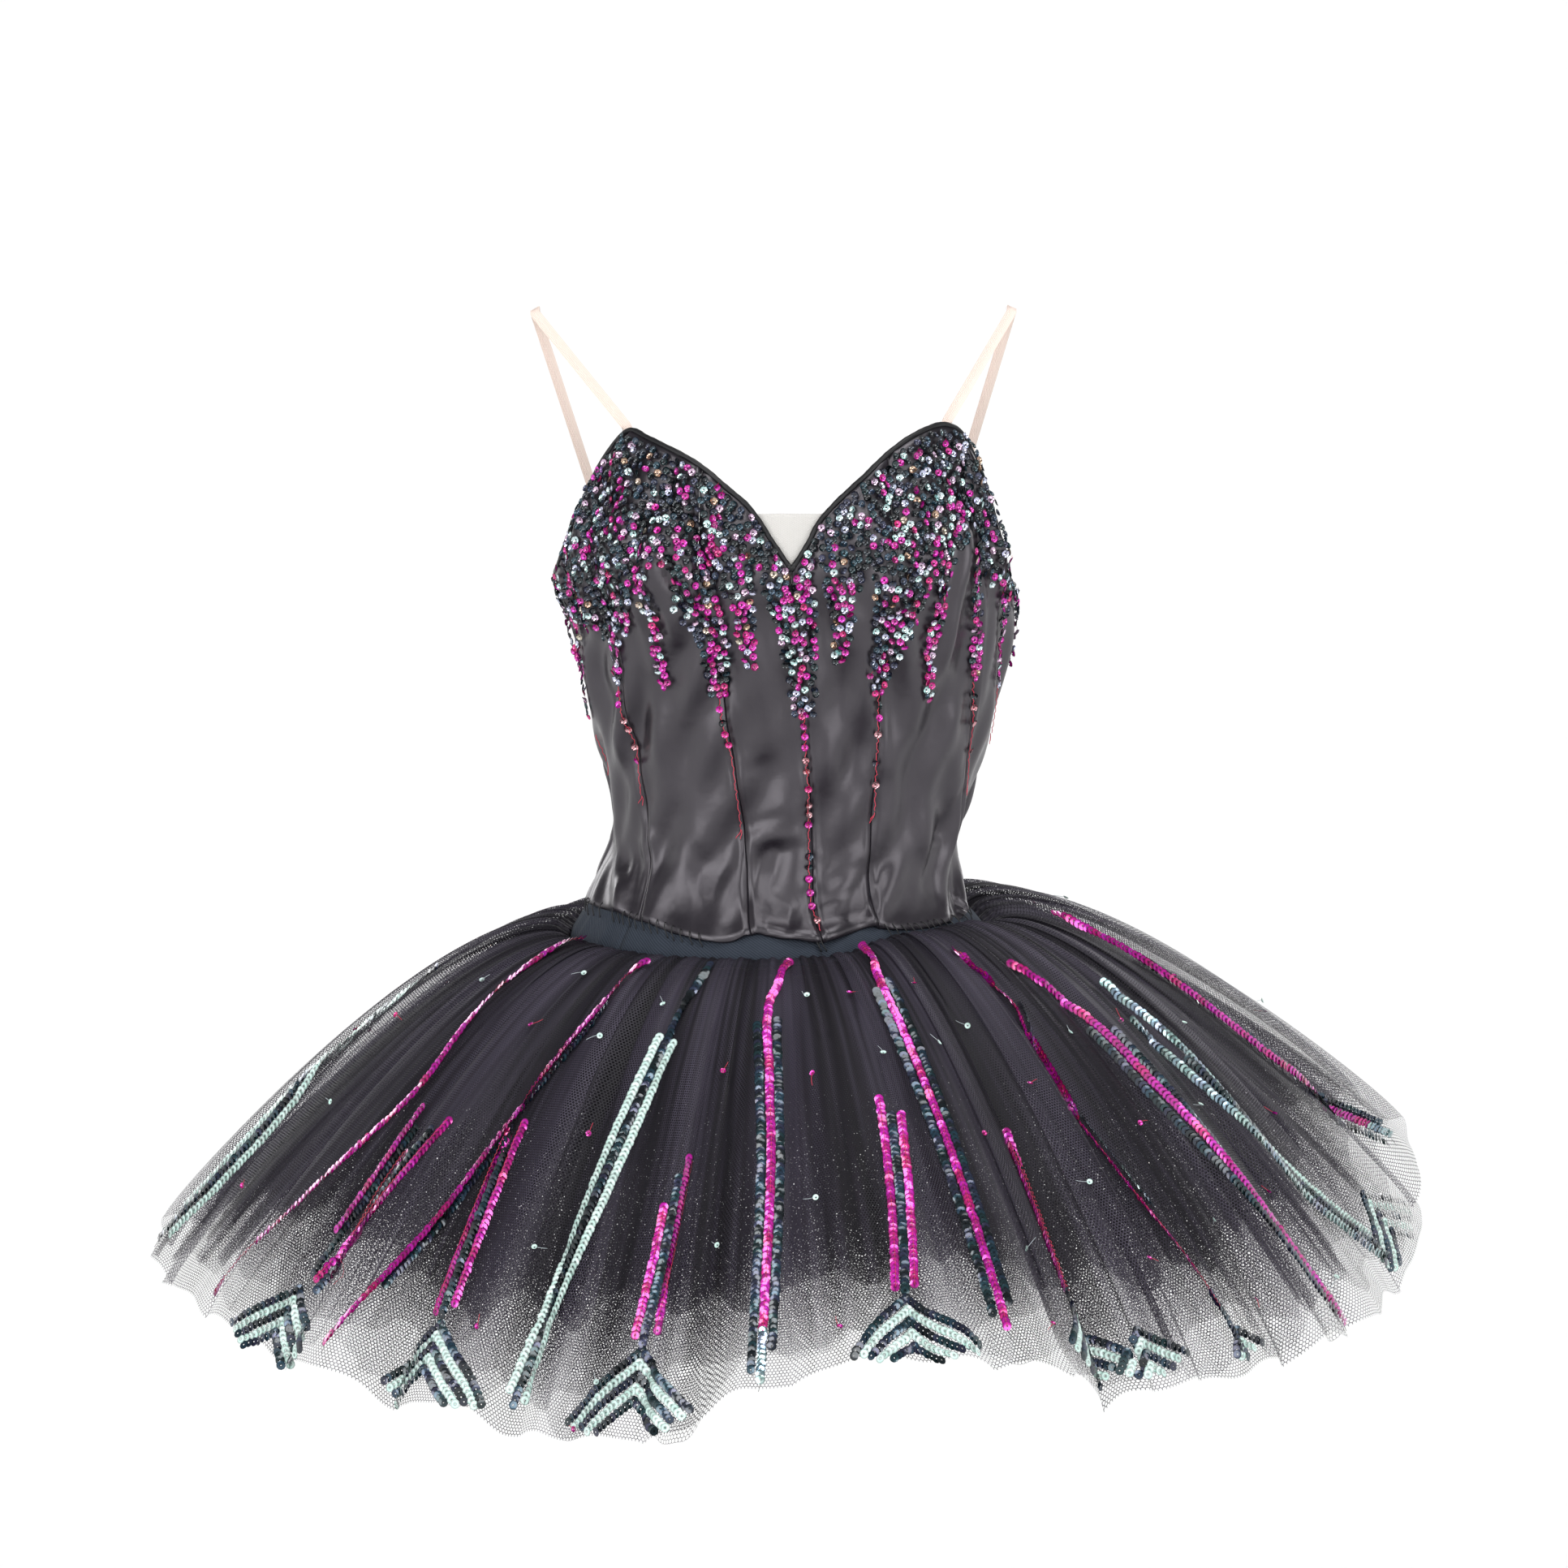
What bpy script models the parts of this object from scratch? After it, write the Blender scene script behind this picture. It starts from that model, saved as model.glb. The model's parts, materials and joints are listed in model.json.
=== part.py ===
"""Ballet tutu, hollow and filled out as worn: a satin bodice, a basque and four gathered net layers.

Metres, +Z up. The origin is the centre of the waist. +X is the wearer's left, and the wearer faces -Y.
Angles go round the body in degrees: 0 at the front, +90 at the wearer's left, 180 at the back.
"""
import math
from collections import namedtuple

import bmesh
import bpy
from mathutils import Vector

# Cloth and trim
SEAM_GAP = 0.0003          # between pieces that are sewn together
SATIN_WALL = 0.0014        # satin with its stiff lining
BASQUE_WALL = 0.0012
NET_WALL = 0.0010
INSERT_WALL = 0.0010
PLACKET_WALL = 0.0012
BINDING_RADIUS = 0.0017
BINDING_SIDES = 6
BINDING_END = 0.0022       # each binding stops this far from the middle of the V
STRAP_WIDTH = 0.006
STRAP_WALL = 0.0010
STRAP_SEWN_INSET = 0.0028  # strap's middle inside the satin's inner face where it is sewn on
STRAP_EDGE_INSET = 0.0042  # and where it passes behind the binding

# Bodice form: how the body's section changes with height
BodyRow = namedtuple("BodyRow", "height half_width centre_x front_depth back_depth")
BODY = [
    BodyRow(-0.045, 0.1235, -0.0050, 0.1005, 0.0965),
    BodyRow(-0.036, 0.1160, -0.0060, 0.0905, 0.0865),
    BodyRow(-0.016, 0.1090, -0.0030, 0.0810, 0.0760),
    BodyRow(0.000, 0.1065, 0.0000, 0.0770, 0.0720),
    BodyRow(0.040, 0.1130, 0.0040, 0.0800, 0.0740),
    BodyRow(0.078, 0.1235, 0.0050, 0.0850, 0.0780),
    BodyRow(0.110, 0.1290, 0.0050, 0.0900, 0.0810),
    BodyRow(0.142, 0.1350, 0.0040, 0.0960, 0.0840),
    BodyRow(0.170, 0.1415, 0.0000, 0.1000, 0.0860),
    BodyRow(0.190, 0.1415, 0.0000, 0.1000, 0.0850),
    BodyRow(0.230, 0.1320, 0.0000, 0.0950, 0.0800),
    BodyRow(0.250, 0.1240, 0.0000, 0.0900, 0.0760),
    BodyRow(0.280, 0.1100, 0.0000, 0.0800, 0.0700),
]
CUP_CENTRE_X = 0.074
CUP_HEIGHT = 0.185
CUP_HALF_WIDTH = 0.040
CUP_HALF_HEIGHT = 0.052
CUP_FULLNESS = 0.013

# Top edge of the satin on each side, from the V at the centre front to the centre back
EdgeRow = namedtuple("EdgeRow", "angle height")
TOP_EDGE_RIGHT = [
    EdgeRow(1.6, 0.181), EdgeRow(-2.6, 0.196), EdgeRow(-8.8, 0.2175), EdgeRow(-15.3, 0.230),
    EdgeRow(-22.7, 0.2415), EdgeRow(-31.0, 0.2495), EdgeRow(-43.3, 0.257), EdgeRow(-52.3, 0.260),
    EdgeRow(-58.0, 0.247), EdgeRow(-61.8, 0.228), EdgeRow(-66.0, 0.205), EdgeRow(-70.4, 0.187),
    EdgeRow(-77.0, 0.173), EdgeRow(-91.0, 0.165), EdgeRow(-112.0, 0.163), EdgeRow(-140.0, 0.160),
    EdgeRow(-180.0, 0.152),
]
TOP_EDGE_LEFT = [
    EdgeRow(1.6, 0.181), EdgeRow(5.9, 0.1975), EdgeRow(8.9, 0.2105), EdgeRow(14.3, 0.2235),
    EdgeRow(21.6, 0.2365), EdgeRow(29.9, 0.249), EdgeRow(39.3, 0.258), EdgeRow(50.0, 0.263),
    EdgeRow(57.0, 0.2625), EdgeRow(62.6, 0.256), EdgeRow(64.8, 0.2365), EdgeRow(65.8, 0.220),
    EdgeRow(66.6, 0.205), EdgeRow(68.8, 0.185), EdgeRow(72.6, 0.172), EdgeRow(79.0, 0.162),
    EdgeRow(92.0, 0.158), EdgeRow(115.0, 0.157), EdgeRow(145.0, 0.156), EdgeRow(180.0, 0.152),
]
HEM_EDGE = [
    EdgeRow(-180.0, -0.040), EdgeRow(-135.0, -0.039), EdgeRow(-90.0, -0.0375), EdgeRow(-60.0, -0.0355),
    EdgeRow(-39.0, -0.0385), EdgeRow(-16.0, -0.0444), EdgeRow(-5.0, -0.0400), EdgeRow(6.0, -0.0432),
    EdgeRow(14.0, -0.0445), EdgeRow(28.0, -0.0385), EdgeRow(40.0, -0.0410), EdgeRow(60.0, -0.0420),
    EdgeRow(77.0, -0.0415), EdgeRow(92.0, -0.0370), EdgeRow(135.0, -0.0390), EdgeRow(180.0, -0.040),
]

# Seams of the bodice, from hem to top
SeamRow = namedtuple("SeamRow", "height angle")
CENTRE_FRONT = [SeamRow(-0.045, 13.3), SeamRow(0.03, 6.7), SeamRow(0.08, 3.3), SeamRow(0.181, 1.6)]
PRINCESS_RIGHT = [SeamRow(-0.045, -6.5), SeamRow(0.02, -14.6), SeamRow(0.082, -18.4), SeamRow(0.133, -20.4),
                  SeamRow(0.2415, -22.7)]
SIDE_FRONT_RIGHT = [SeamRow(-0.045, -45.0), SeamRow(-0.013, -48.8), SeamRow(0.036, -53.6),
                    SeamRow(0.128, -53.2), SeamRow(0.260, -52.3)]
SIDE_RIGHT = [SeamRow(-0.045, -92.0), SeamRow(0.165, -91.0)]
BACK_RIGHT = [SeamRow(-0.045, -180.0), SeamRow(0.152, -180.0)]
PRINCESS_LEFT = [SeamRow(-0.045, 33.0), SeamRow(0.03, 26.7), SeamRow(0.08, 24.7), SeamRow(0.12, 24.9),
                 SeamRow(0.249, 29.9)]
SIDE_FRONT_LEFT = [SeamRow(-0.045, 76.0), SeamRow(0.0, 73.0), SeamRow(0.043, 68.0), SeamRow(0.10, 60.0),
                   SeamRow(0.178, 57.0), SeamRow(0.256, 62.6)]
SIDE_LEFT = [SeamRow(-0.045, 95.0), SeamRow(0.158, 92.0)]
BACK_LEFT = [SeamRow(-0.045, 180.0), SeamRow(0.152, 180.0)]

# Satin panels: seams on both sides, and the rows of the top edge where those seams end
PanelRow = namedtuple("PanelRow", "name start_seam end_seam top_edge start_row end_row columns")
PANELS = [
    PanelRow("bodice_centre_front_right", CENTRE_FRONT, PRINCESS_RIGHT, TOP_EDGE_RIGHT, 0, 4, 6),
    PanelRow("bodice_side_front_right", PRINCESS_RIGHT, SIDE_FRONT_RIGHT, TOP_EDGE_RIGHT, 4, 7, 6),
    PanelRow("bodice_side_right", SIDE_FRONT_RIGHT, SIDE_RIGHT, TOP_EDGE_RIGHT, 7, 13, 6),
    PanelRow("bodice_back_right", SIDE_RIGHT, BACK_RIGHT, TOP_EDGE_RIGHT, 13, 16, 8),
    PanelRow("bodice_centre_front_left", CENTRE_FRONT, PRINCESS_LEFT, TOP_EDGE_LEFT, 0, 5, 6),
    PanelRow("bodice_side_front_left", PRINCESS_LEFT, SIDE_FRONT_LEFT, TOP_EDGE_LEFT, 5, 9, 6),
    PanelRow("bodice_side_left", SIDE_FRONT_LEFT, SIDE_LEFT, TOP_EDGE_LEFT, 9, 16, 7),
    PanelRow("bodice_back_left", SIDE_LEFT, BACK_LEFT, TOP_EDGE_LEFT, 16, 19, 8),
]
PANEL_ROWS = 10

# Mesh insert behind the V
INSERT_TOP = 0.2155
INSERT_START = -7.6
INSERT_END = 9.6
INSERT_TUCK = 0.008        # how far it reaches below the neckline
INSERT_INSET = 0.0013      # its outer face inside the satin's inner face, clear of the binding
INSERT_COLUMNS = 6

# Underlap behind the centre-back closure
PLACKET_HALF_ANGLE = 9.0
PLACKET_TOP = 0.146
PLACKET_BOTTOM = -0.005
PLACKET_INSET = 0.0008     # clear of the flats of the back panels

# Straps: where each end is sewn and crosses the top edge, and the pointed tip where it is held up
StrapEnd = namedtuple("StrapEnd", "sewn_angle sewn_height edge_angle edge_height")
StrapRow = namedtuple("StrapRow", "name front back tip")
STRAPS = [
    StrapRow("strap_right", StrapEnd(-51.5, 0.247, -56.6, 0.2615), StrapEnd(-128.0, 0.146, -129.5, 0.163),
             Vector((-0.1520, 0.004, 0.3280))),
    StrapRow("strap_left", StrapEnd(54.5, 0.250, 60.0, 0.2640), StrapEnd(136.0, 0.142, 137.5, 0.159),
             Vector((0.1380, 0.004, 0.3290))),
]
STRAP_FOLD = 0.0030        # front and back runs lie this far apart at the tip
STRAP_STEPS = 6

# Basque: the hip yoke that the net is sewn to
BASQUE = [
    BodyRow(-0.075, 0.1325, -0.0030, 0.1090, 0.1040),
    BodyRow(-0.057, 0.1290, -0.0030, 0.1045, 0.0995),
    BodyRow(-0.048, 0.1225, -0.0040, 0.0975, 0.0935),
    BodyRow(-0.036, 0.1125, -0.0060, 0.0865, 0.0830),
    BodyRow(-0.008, 0.1030, -0.0020, 0.0745, 0.0700),
]
BasquePiece = namedtuple("BasquePiece", "name start_angle end_angle columns")
BASQUE_PIECES = [
    BasquePiece("basque_back_right", -180.0, -50.0, 14),
    BasquePiece("basque_front_right", -50.0, 12.0, 8),
    BasquePiece("basque_front_left", 12.0, 70.0, 8),
    BasquePiece("basque_back_left", 70.0, 180.0, 12),
]

# Net skirt: where its top edge runs, how steeply it falls, how full it puffs above a straight line,
# and what share of the layer's length lies straight there
SkirtRow = namedtuple("SkirtRow", "angle top_height slope fullness length")
SKIRT = [
    SkirtRow(-180.0, -0.054, 34.0, 0.031, 0.98), SkirtRow(-150.0, -0.055, 36.0, 0.031, 0.98),
    SkirtRow(-120.0, -0.057, 38.5, 0.031, 0.96), SkirtRow(-90.0, -0.059, 37.5, 0.034, 0.95),
    SkirtRow(-60.0, -0.058, 37.5, 0.036, 0.96), SkirtRow(-41.0, -0.0575, 41.0, 0.034, 0.97),
    SkirtRow(-24.0, -0.0565, 44.0, 0.032, 0.99), SkirtRow(-11.0, -0.056, 40.5, 0.030, 1.00),
    SkirtRow(3.0, -0.056, 32.5, 0.028, 0.98), SkirtRow(18.0, -0.054, 31.0, 0.028, 0.98),
    SkirtRow(30.0, -0.047, 41.0, 0.031, 1.00), SkirtRow(42.0, -0.046, 43.5, 0.033, 1.00),
    SkirtRow(60.0, -0.046, 43.0, 0.034, 0.99), SkirtRow(82.0, -0.053, 42.0, 0.036, 1.00),
    SkirtRow(96.0, -0.056, 36.0, 0.036, 1.00), SkirtRow(114.0, -0.053, 27.5, 0.034, 1.00),
    SkirtRow(132.0, -0.051, 27.5, 0.034, 0.99), SkirtRow(156.0, -0.053, 34.0, 0.031, 0.98),
    SkirtRow(180.0, -0.054, 34.0, 0.031, 0.98),
]
# Flutes: a narrow valley at each angle, and how deep the net folds there at the hem
FluteRow = namedtuple("FluteRow", "valley depth")
FLUTES = [
    FluteRow(-180.0, 0.012), FluteRow(-165.0, 0.016), FluteRow(-151.0, 0.013), FluteRow(-136.0, 0.018),
    FluteRow(-121.0, 0.014), FluteRow(-106.0, 0.016), FluteRow(-91.0, 0.013), FluteRow(-76.0, 0.018),
    FluteRow(-62.0, 0.015), FluteRow(-49.0, 0.019), FluteRow(-37.0, 0.013), FluteRow(-24.0, 0.010),
    FluteRow(-11.5, 0.018), FluteRow(1.0, 0.012), FluteRow(17.0, 0.019), FluteRow(31.0, 0.017),
    FluteRow(44.0, 0.018), FluteRow(57.0, 0.015), FluteRow(71.0, 0.018), FluteRow(86.0, 0.014),
    FluteRow(101.0, 0.018), FluteRow(117.0, 0.015), FluteRow(133.0, 0.017), FluteRow(149.0, 0.013),
    FluteRow(165.0, 0.016), FluteRow(180.0, 0.012),
]
FLUTE_ROUNDNESS = 0.7      # 1 is a plain wave, and less gives broad ridges and narrow valleys
FLUTE_MIDDLE = 0.6         # share of a flute's depth that lies below the smooth surface
FLUTE_GROWTH = 0.9         # how the depth grows from the seam to the hem
FLUTE_COLUMNS = (0.0, 0.18, 0.5, 0.82)
PUFF_START = 0.63          # the puff rises fast near the seam
PUFF_SHAPE = 0.75
SKIRT_REACH = 0.340        # from the seam to the overlay's hem, measured straight
NET_SEAT = 0.0008          # from the basque to a layer's upper face at its seam
NET_OPENING = 0.35         # degrees from the centre back to each end of a layer
LAYER_STEP = 0.0045        # each layer is sewn on below the one above
LAYER_SPREAD = 0.0095      # and hangs this much lower at the hem
LayerRow = namedtuple("LayerRow", "name rings")
LAYERS = [
    LayerRow("net_overlay", (0.340, 0.275, 0.210, 0.140, 0.075, 0.028, 0.008, 0.0)),
    LayerRow("net_second", (0.318, 0.230, 0.140, 0.075, 0.028, 0.008, 0.0)),
    LayerRow("net_third", (0.295, 0.210, 0.140, 0.075, 0.028, 0.008, 0.0)),
    LayerRow("net_fourth", (0.240, 0.140, 0.075, 0.028, 0.008, 0.0)),
]

# Finish of each cloth: colour, roughness and how much light passes
Cloth = namedtuple("Cloth", "name colour roughness alpha")
SATIN = Cloth("satin_black", (0.030, 0.030, 0.034, 1.0), 0.35, 1.0)
BINDING = Cloth("binding_black", (0.015, 0.015, 0.017, 1.0), 0.45, 1.0)
TWILL = Cloth("basque_navy", (0.020, 0.026, 0.034, 1.0), 0.80, 1.0)
NET = Cloth("net_black", (0.012, 0.012, 0.016, 1.0), 0.70, 0.6)
RIBBON = Cloth("strap_ribbon", (0.850, 0.640, 0.540, 1.0), 0.50, 1.0)
PALE_MESH = Cloth("insert_mesh", (0.780, 0.750, 0.720, 1.0), 0.60, 1.0)

UP = Vector((0.0, 0.0, 1.0))
NORMAL_TURN = 1.0          # steps in degrees and metres over which the bodice's slope is measured
NORMAL_RISE = 0.002


def clear_scene():
    for item in list(bpy.data.objects):
        bpy.data.objects.remove(item, do_unlink=True)


def mix(low, high, share):
    return low + (high - low) * share


def table_slope(rows, index, column):
    """Slope of one column of a table at one of its rows."""
    before = rows[max(index - 1, 0)]
    after = rows[min(index + 1, len(rows) - 1)]
    return (after[column] - before[column]) / (after[0] - before[0])


def read_table(rows, position, straight=False):
    """Read every column of a table at a position in its first column, smoothly or in straight runs."""
    position = min(max(position, rows[0][0]), rows[-1][0])
    index = 0
    while index < len(rows) - 2 and position > rows[index + 1][0]:
        index += 1
    low, high = rows[index], rows[index + 1]
    span = high[0] - low[0]
    share = (position - low[0]) / span
    values = [position]
    for column in range(1, len(low)):
        value = mix(low[column], high[column], share)
        if not straight:
            rise = high[column] - low[column]
            start = table_slope(rows, index, column) * span - rise
            end = rise - table_slope(rows, index + 1, column) * span
            value += share * (1 - share) * (start * (1 - share) + end * share)
        values.append(value)
    return type(low)(*values)


def read_edge(edge, station):
    """Point of an edge at a station, where row number n is station n; smooth between rows."""
    numbered = [(number, row.angle, row.height) for number, row in enumerate(edge)]
    index = min(int(station), len(edge) - 2)
    low, high = numbered[index], numbered[index + 1]
    share = station - index
    values = []
    for column in (1, 2):
        rise = high[column] - low[column]
        start = table_slope(numbered, index, column) - rise
        end = rise - table_slope(numbered, index + 1, column)
        bend = share * (1 - share) * (start * (1 - share) + end * share)
        values.append(low[column] + rise * share + bend)
    return EdgeRow(*values)


def outward(angle):
    """Level direction away from the body at an angle."""
    turn = math.radians(angle)
    return Vector((math.sin(turn), -math.cos(turn), 0.0))


def section_point(row, angle, height, inset):
    """Point on an oval section whose front and back have their own depths."""
    direction = outward(angle)
    depth = row.front_depth if direction.y < 0 else row.back_depth
    x = row.centre_x + (row.half_width - inset) * direction.x
    y = (depth - inset) * direction.y
    return Vector((x, y, height))


def body_point(angle, height, inset=0.0):
    """Point of the bodice's outer face, or this far inside it."""
    point = section_point(read_table(BODY, height), angle, height, inset)
    if point.y < 0:
        for side in (-1, 1):
            across = (point.x - side * CUP_CENTRE_X) / CUP_HALF_WIDTH
            above = (height - CUP_HEIGHT) / CUP_HALF_HEIGHT
            point.y -= CUP_FULLNESS * math.exp(-across * across - above * above)
    return point


def body_normal(angle, height):
    """Direction straight out of the bodice's outer face."""
    across = body_point(angle + NORMAL_TURN, height) - body_point(angle - NORMAL_TURN, height)
    upward = body_point(angle, height + NORMAL_RISE) - body_point(angle, height - NORMAL_RISE)
    return across.cross(upward).normalized()


def basque_point(angle, height, outset=0.0):
    return section_point(read_table(BASQUE, height, straight=True), angle, height, -outset)


def material_for(cloth):
    """Principled material of a cloth, made once."""
    material = bpy.data.materials.get(cloth.name)
    if material is None:
        material = bpy.data.materials.new(cloth.name)
        material.use_nodes = True
        shader = material.node_tree.nodes["Principled BSDF"]
        shader.inputs["Base Color"].default_value = cloth.colour
        shader.inputs["Roughness"].default_value = cloth.roughness
        shader.inputs["Metallic"].default_value = 0.0
        shader.inputs["Alpha"].default_value = cloth.alpha
    return material


def add_solid(name, points, faces, cloth):
    """One closed solid from its points and faces, with every face turned outwards."""
    mesh = bpy.data.meshes.new(name)
    mesh.from_pydata([tuple(point) for point in points], [], faces)
    model = bmesh.new()
    model.from_mesh(mesh)
    bmesh.ops.recalc_face_normals(model, faces=model.faces)
    model.to_mesh(mesh)
    model.free()
    mesh.shade_smooth()
    mesh.materials.append(material_for(cloth))
    solid = bpy.data.objects.new(name, mesh)
    bpy.context.scene.collection.objects.link(solid)
    return solid


def half_steps(values, index):
    """Positions half a step before and after one of a list's values, kept inside the list."""
    before = (values[max(index - 1, 0)] + values[index]) / 2
    after = (values[min(index + 1, len(values) - 1)] + values[index]) / 2
    return before, after


def grid_normal(surface, columns, rows, i, j):
    """Direction straight out of a surface at one crossing of a grid, from half a step around it."""
    u_before, u_after = half_steps(columns, i)
    v_before, v_after = half_steps(rows, j)
    across = surface(u_after, rows[j]) - surface(u_before, rows[j])
    upward = surface(columns[i], v_after) - surface(columns[i], v_before)
    return across.cross(upward).normalized()


def add_wall(name, surface, columns, rows, thickness, cloth, facing=None):
    """Sheet of cloth as a closed wall: surface(u, v) is its outer face, and its inner face lies inside.

    The wall's thickness runs along facing(u, v), or along the grid's own normals.
    """
    outer, inner = [], []
    for i, u in enumerate(columns):
        for j, v in enumerate(rows):
            normal = facing(u, v) if facing else grid_normal(surface, columns, rows, i, j)
            point = surface(u, v)
            outer.append(point)
            inner.append(point - normal * thickness)
    depth = len(outer)
    count = len(rows)
    faces = []

    def add_quad(a, b, c, d):
        faces.append((a, b, c))
        faces.append((a, c, d))

    for i in range(len(columns) - 1):
        for j in range(count - 1):
            a, b = i * count + j, (i + 1) * count + j
            add_quad(a, b, b + 1, a + 1)
            add_quad(a + depth, a + 1 + depth, b + 1 + depth, b + depth)
    for i in range(len(columns) - 1):
        a, b = i * count, (i + 1) * count
        add_quad(a, a + depth, b + depth, b)
        a, b = a + count - 1, b + count - 1
        add_quad(a, b, b + depth, a + depth)
    last = (len(columns) - 1) * count
    for j in range(count - 1):
        add_quad(j, j + 1, j + 1 + depth, j + depth)
        add_quad(last + j, last + j + depth, last + j + 1 + depth, last + j + 1)
    return add_solid(name, outer + inner, faces, cloth)


def add_loft(name, sections, cloth):
    """Closed solid through sections that all have the same number of points, with flat ends."""
    size = len(sections[0])
    points = [point for section in sections for point in section]
    faces = []
    for number in range(len(sections) - 1):
        start = number * size
        for k in range(size):
            turn = (k + 1) % size
            faces.append((start + k, start + turn, start + size + turn, start + size + k))
    faces.append(tuple(range(size)))
    faces.append(tuple(range(len(points) - size, len(points))))
    return add_solid(name, points, faces, cloth)


def even_steps(count, start=0.0, end=1.0):
    return [mix(start, end, step / count) for step in range(count + 1)]


def seam_bow(seam, share):
    """How far a seam bends from a straight run, this share of the way from the hem to its top."""
    height = mix(read_table(HEM_EDGE, seam[0].angle).height, seam[-1].height, share)
    return read_table(seam, height).angle - mix(seam[0].angle, seam[-1].angle, share)


def add_panel(panel):
    """Satin panel between two seams, from the hem to its stretch of the top edge."""
    turning = 1.0 if panel.top_edge is TOP_EDGE_LEFT else -1.0

    def place(u, v):
        top = read_edge(panel.top_edge, panel.start_row + (panel.end_row - panel.start_row) * u)
        start, end = panel.start_seam, panel.end_seam
        hem_angle = mix(start[0].angle, end[0].angle, u)
        height = mix(read_table(HEM_EDGE, hem_angle).height, top.height, v)
        angle = mix(hem_angle, top.angle, v) + mix(seam_bow(start, v), seam_bow(end, v), u)
        point = body_point(angle, height)
        gap = SEAM_GAP / 2 * (1 - 2 * u) * turning
        return angle + math.degrees(gap / math.hypot(point.x, point.y)), height

    def surface(u, v):
        return body_point(*place(u, v))

    def facing(u, v):
        return body_normal(*place(u, v))

    columns = even_steps(panel.columns)
    rows = even_steps(PANEL_ROWS)
    if turning < 0:
        columns.reverse()
    return add_wall(panel.name, surface, columns, rows, SATIN_WALL, SATIN, facing)


def add_binding(name, edge):
    """Rounded bias binding that stands on one side's top edge, from the V to the centre back."""
    side = 1.0 if edge is TOP_EDGE_LEFT else -1.0
    stations = [0.0]
    for panel in PANELS:
        if panel.top_edge is edge:
            stations += even_steps(panel.columns, panel.start_row, panel.end_row)[1:]
    path, normals = [], []
    for station in stations:
        row = read_edge(edge, station)
        normals.append(body_normal(row.angle, row.height))
        path.append(body_point(row.angle, row.height) - normals[-1] * SATIN_WALL / 2)
    sections = []
    for index, point in enumerate(path):
        arriving = (point - path[index - 1]).normalized() if index > 0 else None
        leaving = (path[index + 1] - point).normalized() if index < len(path) - 1 else arriving
        arriving = arriving or leaving
        along = (arriving + leaving).normalized()
        above = (along.cross(normals[index]) * -side).normalized()
        away = above.cross(along).normalized()
        centre = point + above * (BINDING_RADIUS + SEAM_GAP) / along.dot(leaving)
        if index == 0:
            centre += along * (side * BINDING_END - (centre.x - point.x)) / along.x
        if index == len(path) - 1:
            centre -= along * SEAM_GAP
        ring = []
        for k in range(BINDING_SIDES):
            turn = 2 * math.pi * k / BINDING_SIDES
            ring.append(centre + (above * math.cos(turn) + away * math.sin(turn)) * BINDING_RADIUS)
        sections.append(ring)
    return add_loft(name, sections, BINDING)


def add_insert():
    """Pale mesh behind the V, with a straight top edge."""
    def surface(u, v):
        angle = mix(INSERT_START, INSERT_END, u)
        edge = TOP_EDGE_LEFT if angle > TOP_EDGE_LEFT[0].angle else TOP_EDGE_RIGHT
        low, high = 0.0, 3.0
        for _ in range(20):
            station = (low + high) / 2
            if abs(read_edge(edge, station).angle - edge[0].angle) < abs(angle - edge[0].angle):
                low = station
            else:
                high = station
        bottom = read_edge(edge, low).height - INSERT_TUCK
        height = mix(bottom, INSERT_TOP, v)
        return body_point(angle, height, SATIN_WALL + INSERT_INSET)

    return add_wall("neck_insert", surface, even_steps(INSERT_COLUMNS), even_steps(3), INSERT_WALL, PALE_MESH)


def add_placket():
    """Strip of satin under the centre-back closure."""
    def surface(u, v):
        angle = 180.0 + PLACKET_HALF_ANGLE * (2 * u - 1)
        height = mix(PLACKET_BOTTOM, PLACKET_TOP, v)
        return body_point(angle, height, SATIN_WALL + PLACKET_INSET)

    return add_wall("back_placket", surface, even_steps(4), even_steps(PANEL_ROWS), PLACKET_WALL, SATIN)


def add_strap(strap):
    """Ribbon that rises from the front, folds over at its tip and runs down to the back."""
    ends = []
    for end in (strap.front, strap.back):
        sewn = body_point(end.sewn_angle, end.sewn_height, SATIN_WALL + STRAP_SEWN_INSET)
        edge = body_point(end.edge_angle, end.edge_height, SATIN_WALL + STRAP_EDGE_INSET)
        ends.append((sewn, edge))
    (front_sewn, front), (back_sewn, back) = ends
    front_top = strap.tip - Vector((0.0, STRAP_FOLD / 2, STRAP_FOLD))
    back_top = strap.tip + Vector((0.0, STRAP_FOLD / 2, -STRAP_FOLD))
    path = [front_sewn]
    path += [front.lerp(front_top, share) for share in even_steps(STRAP_STEPS)]
    path.append(strap.tip.copy())
    path += [back_top.lerp(back, share) for share in even_steps(STRAP_STEPS)]
    path.append(back_sewn)
    depthways = Vector((0.0, 1.0, 0.0))
    front_width = (front_top - front).cross(depthways).normalized()
    back_width = (back_top - back).cross(depthways).normalized()
    sections = []
    for index, point in enumerate(path):
        before = path[max(index - 1, 0)]
        after = path[min(index + 1, len(path) - 1)]
        along = (after - before).normalized()
        share = min(max((index - STRAP_STEPS - 1) / 2, 0.0), 1.0)
        width = front_width.lerp(back_width, share)
        width = (width - along * width.dot(along)).normalized() * STRAP_WIDTH / 2
        face = along.cross(width).normalized() * STRAP_WALL / 2
        sections.append([point - width - face, point + width - face, point + width + face, point - width + face])
    return add_loft(strap.name, sections, RIBBON)


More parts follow.
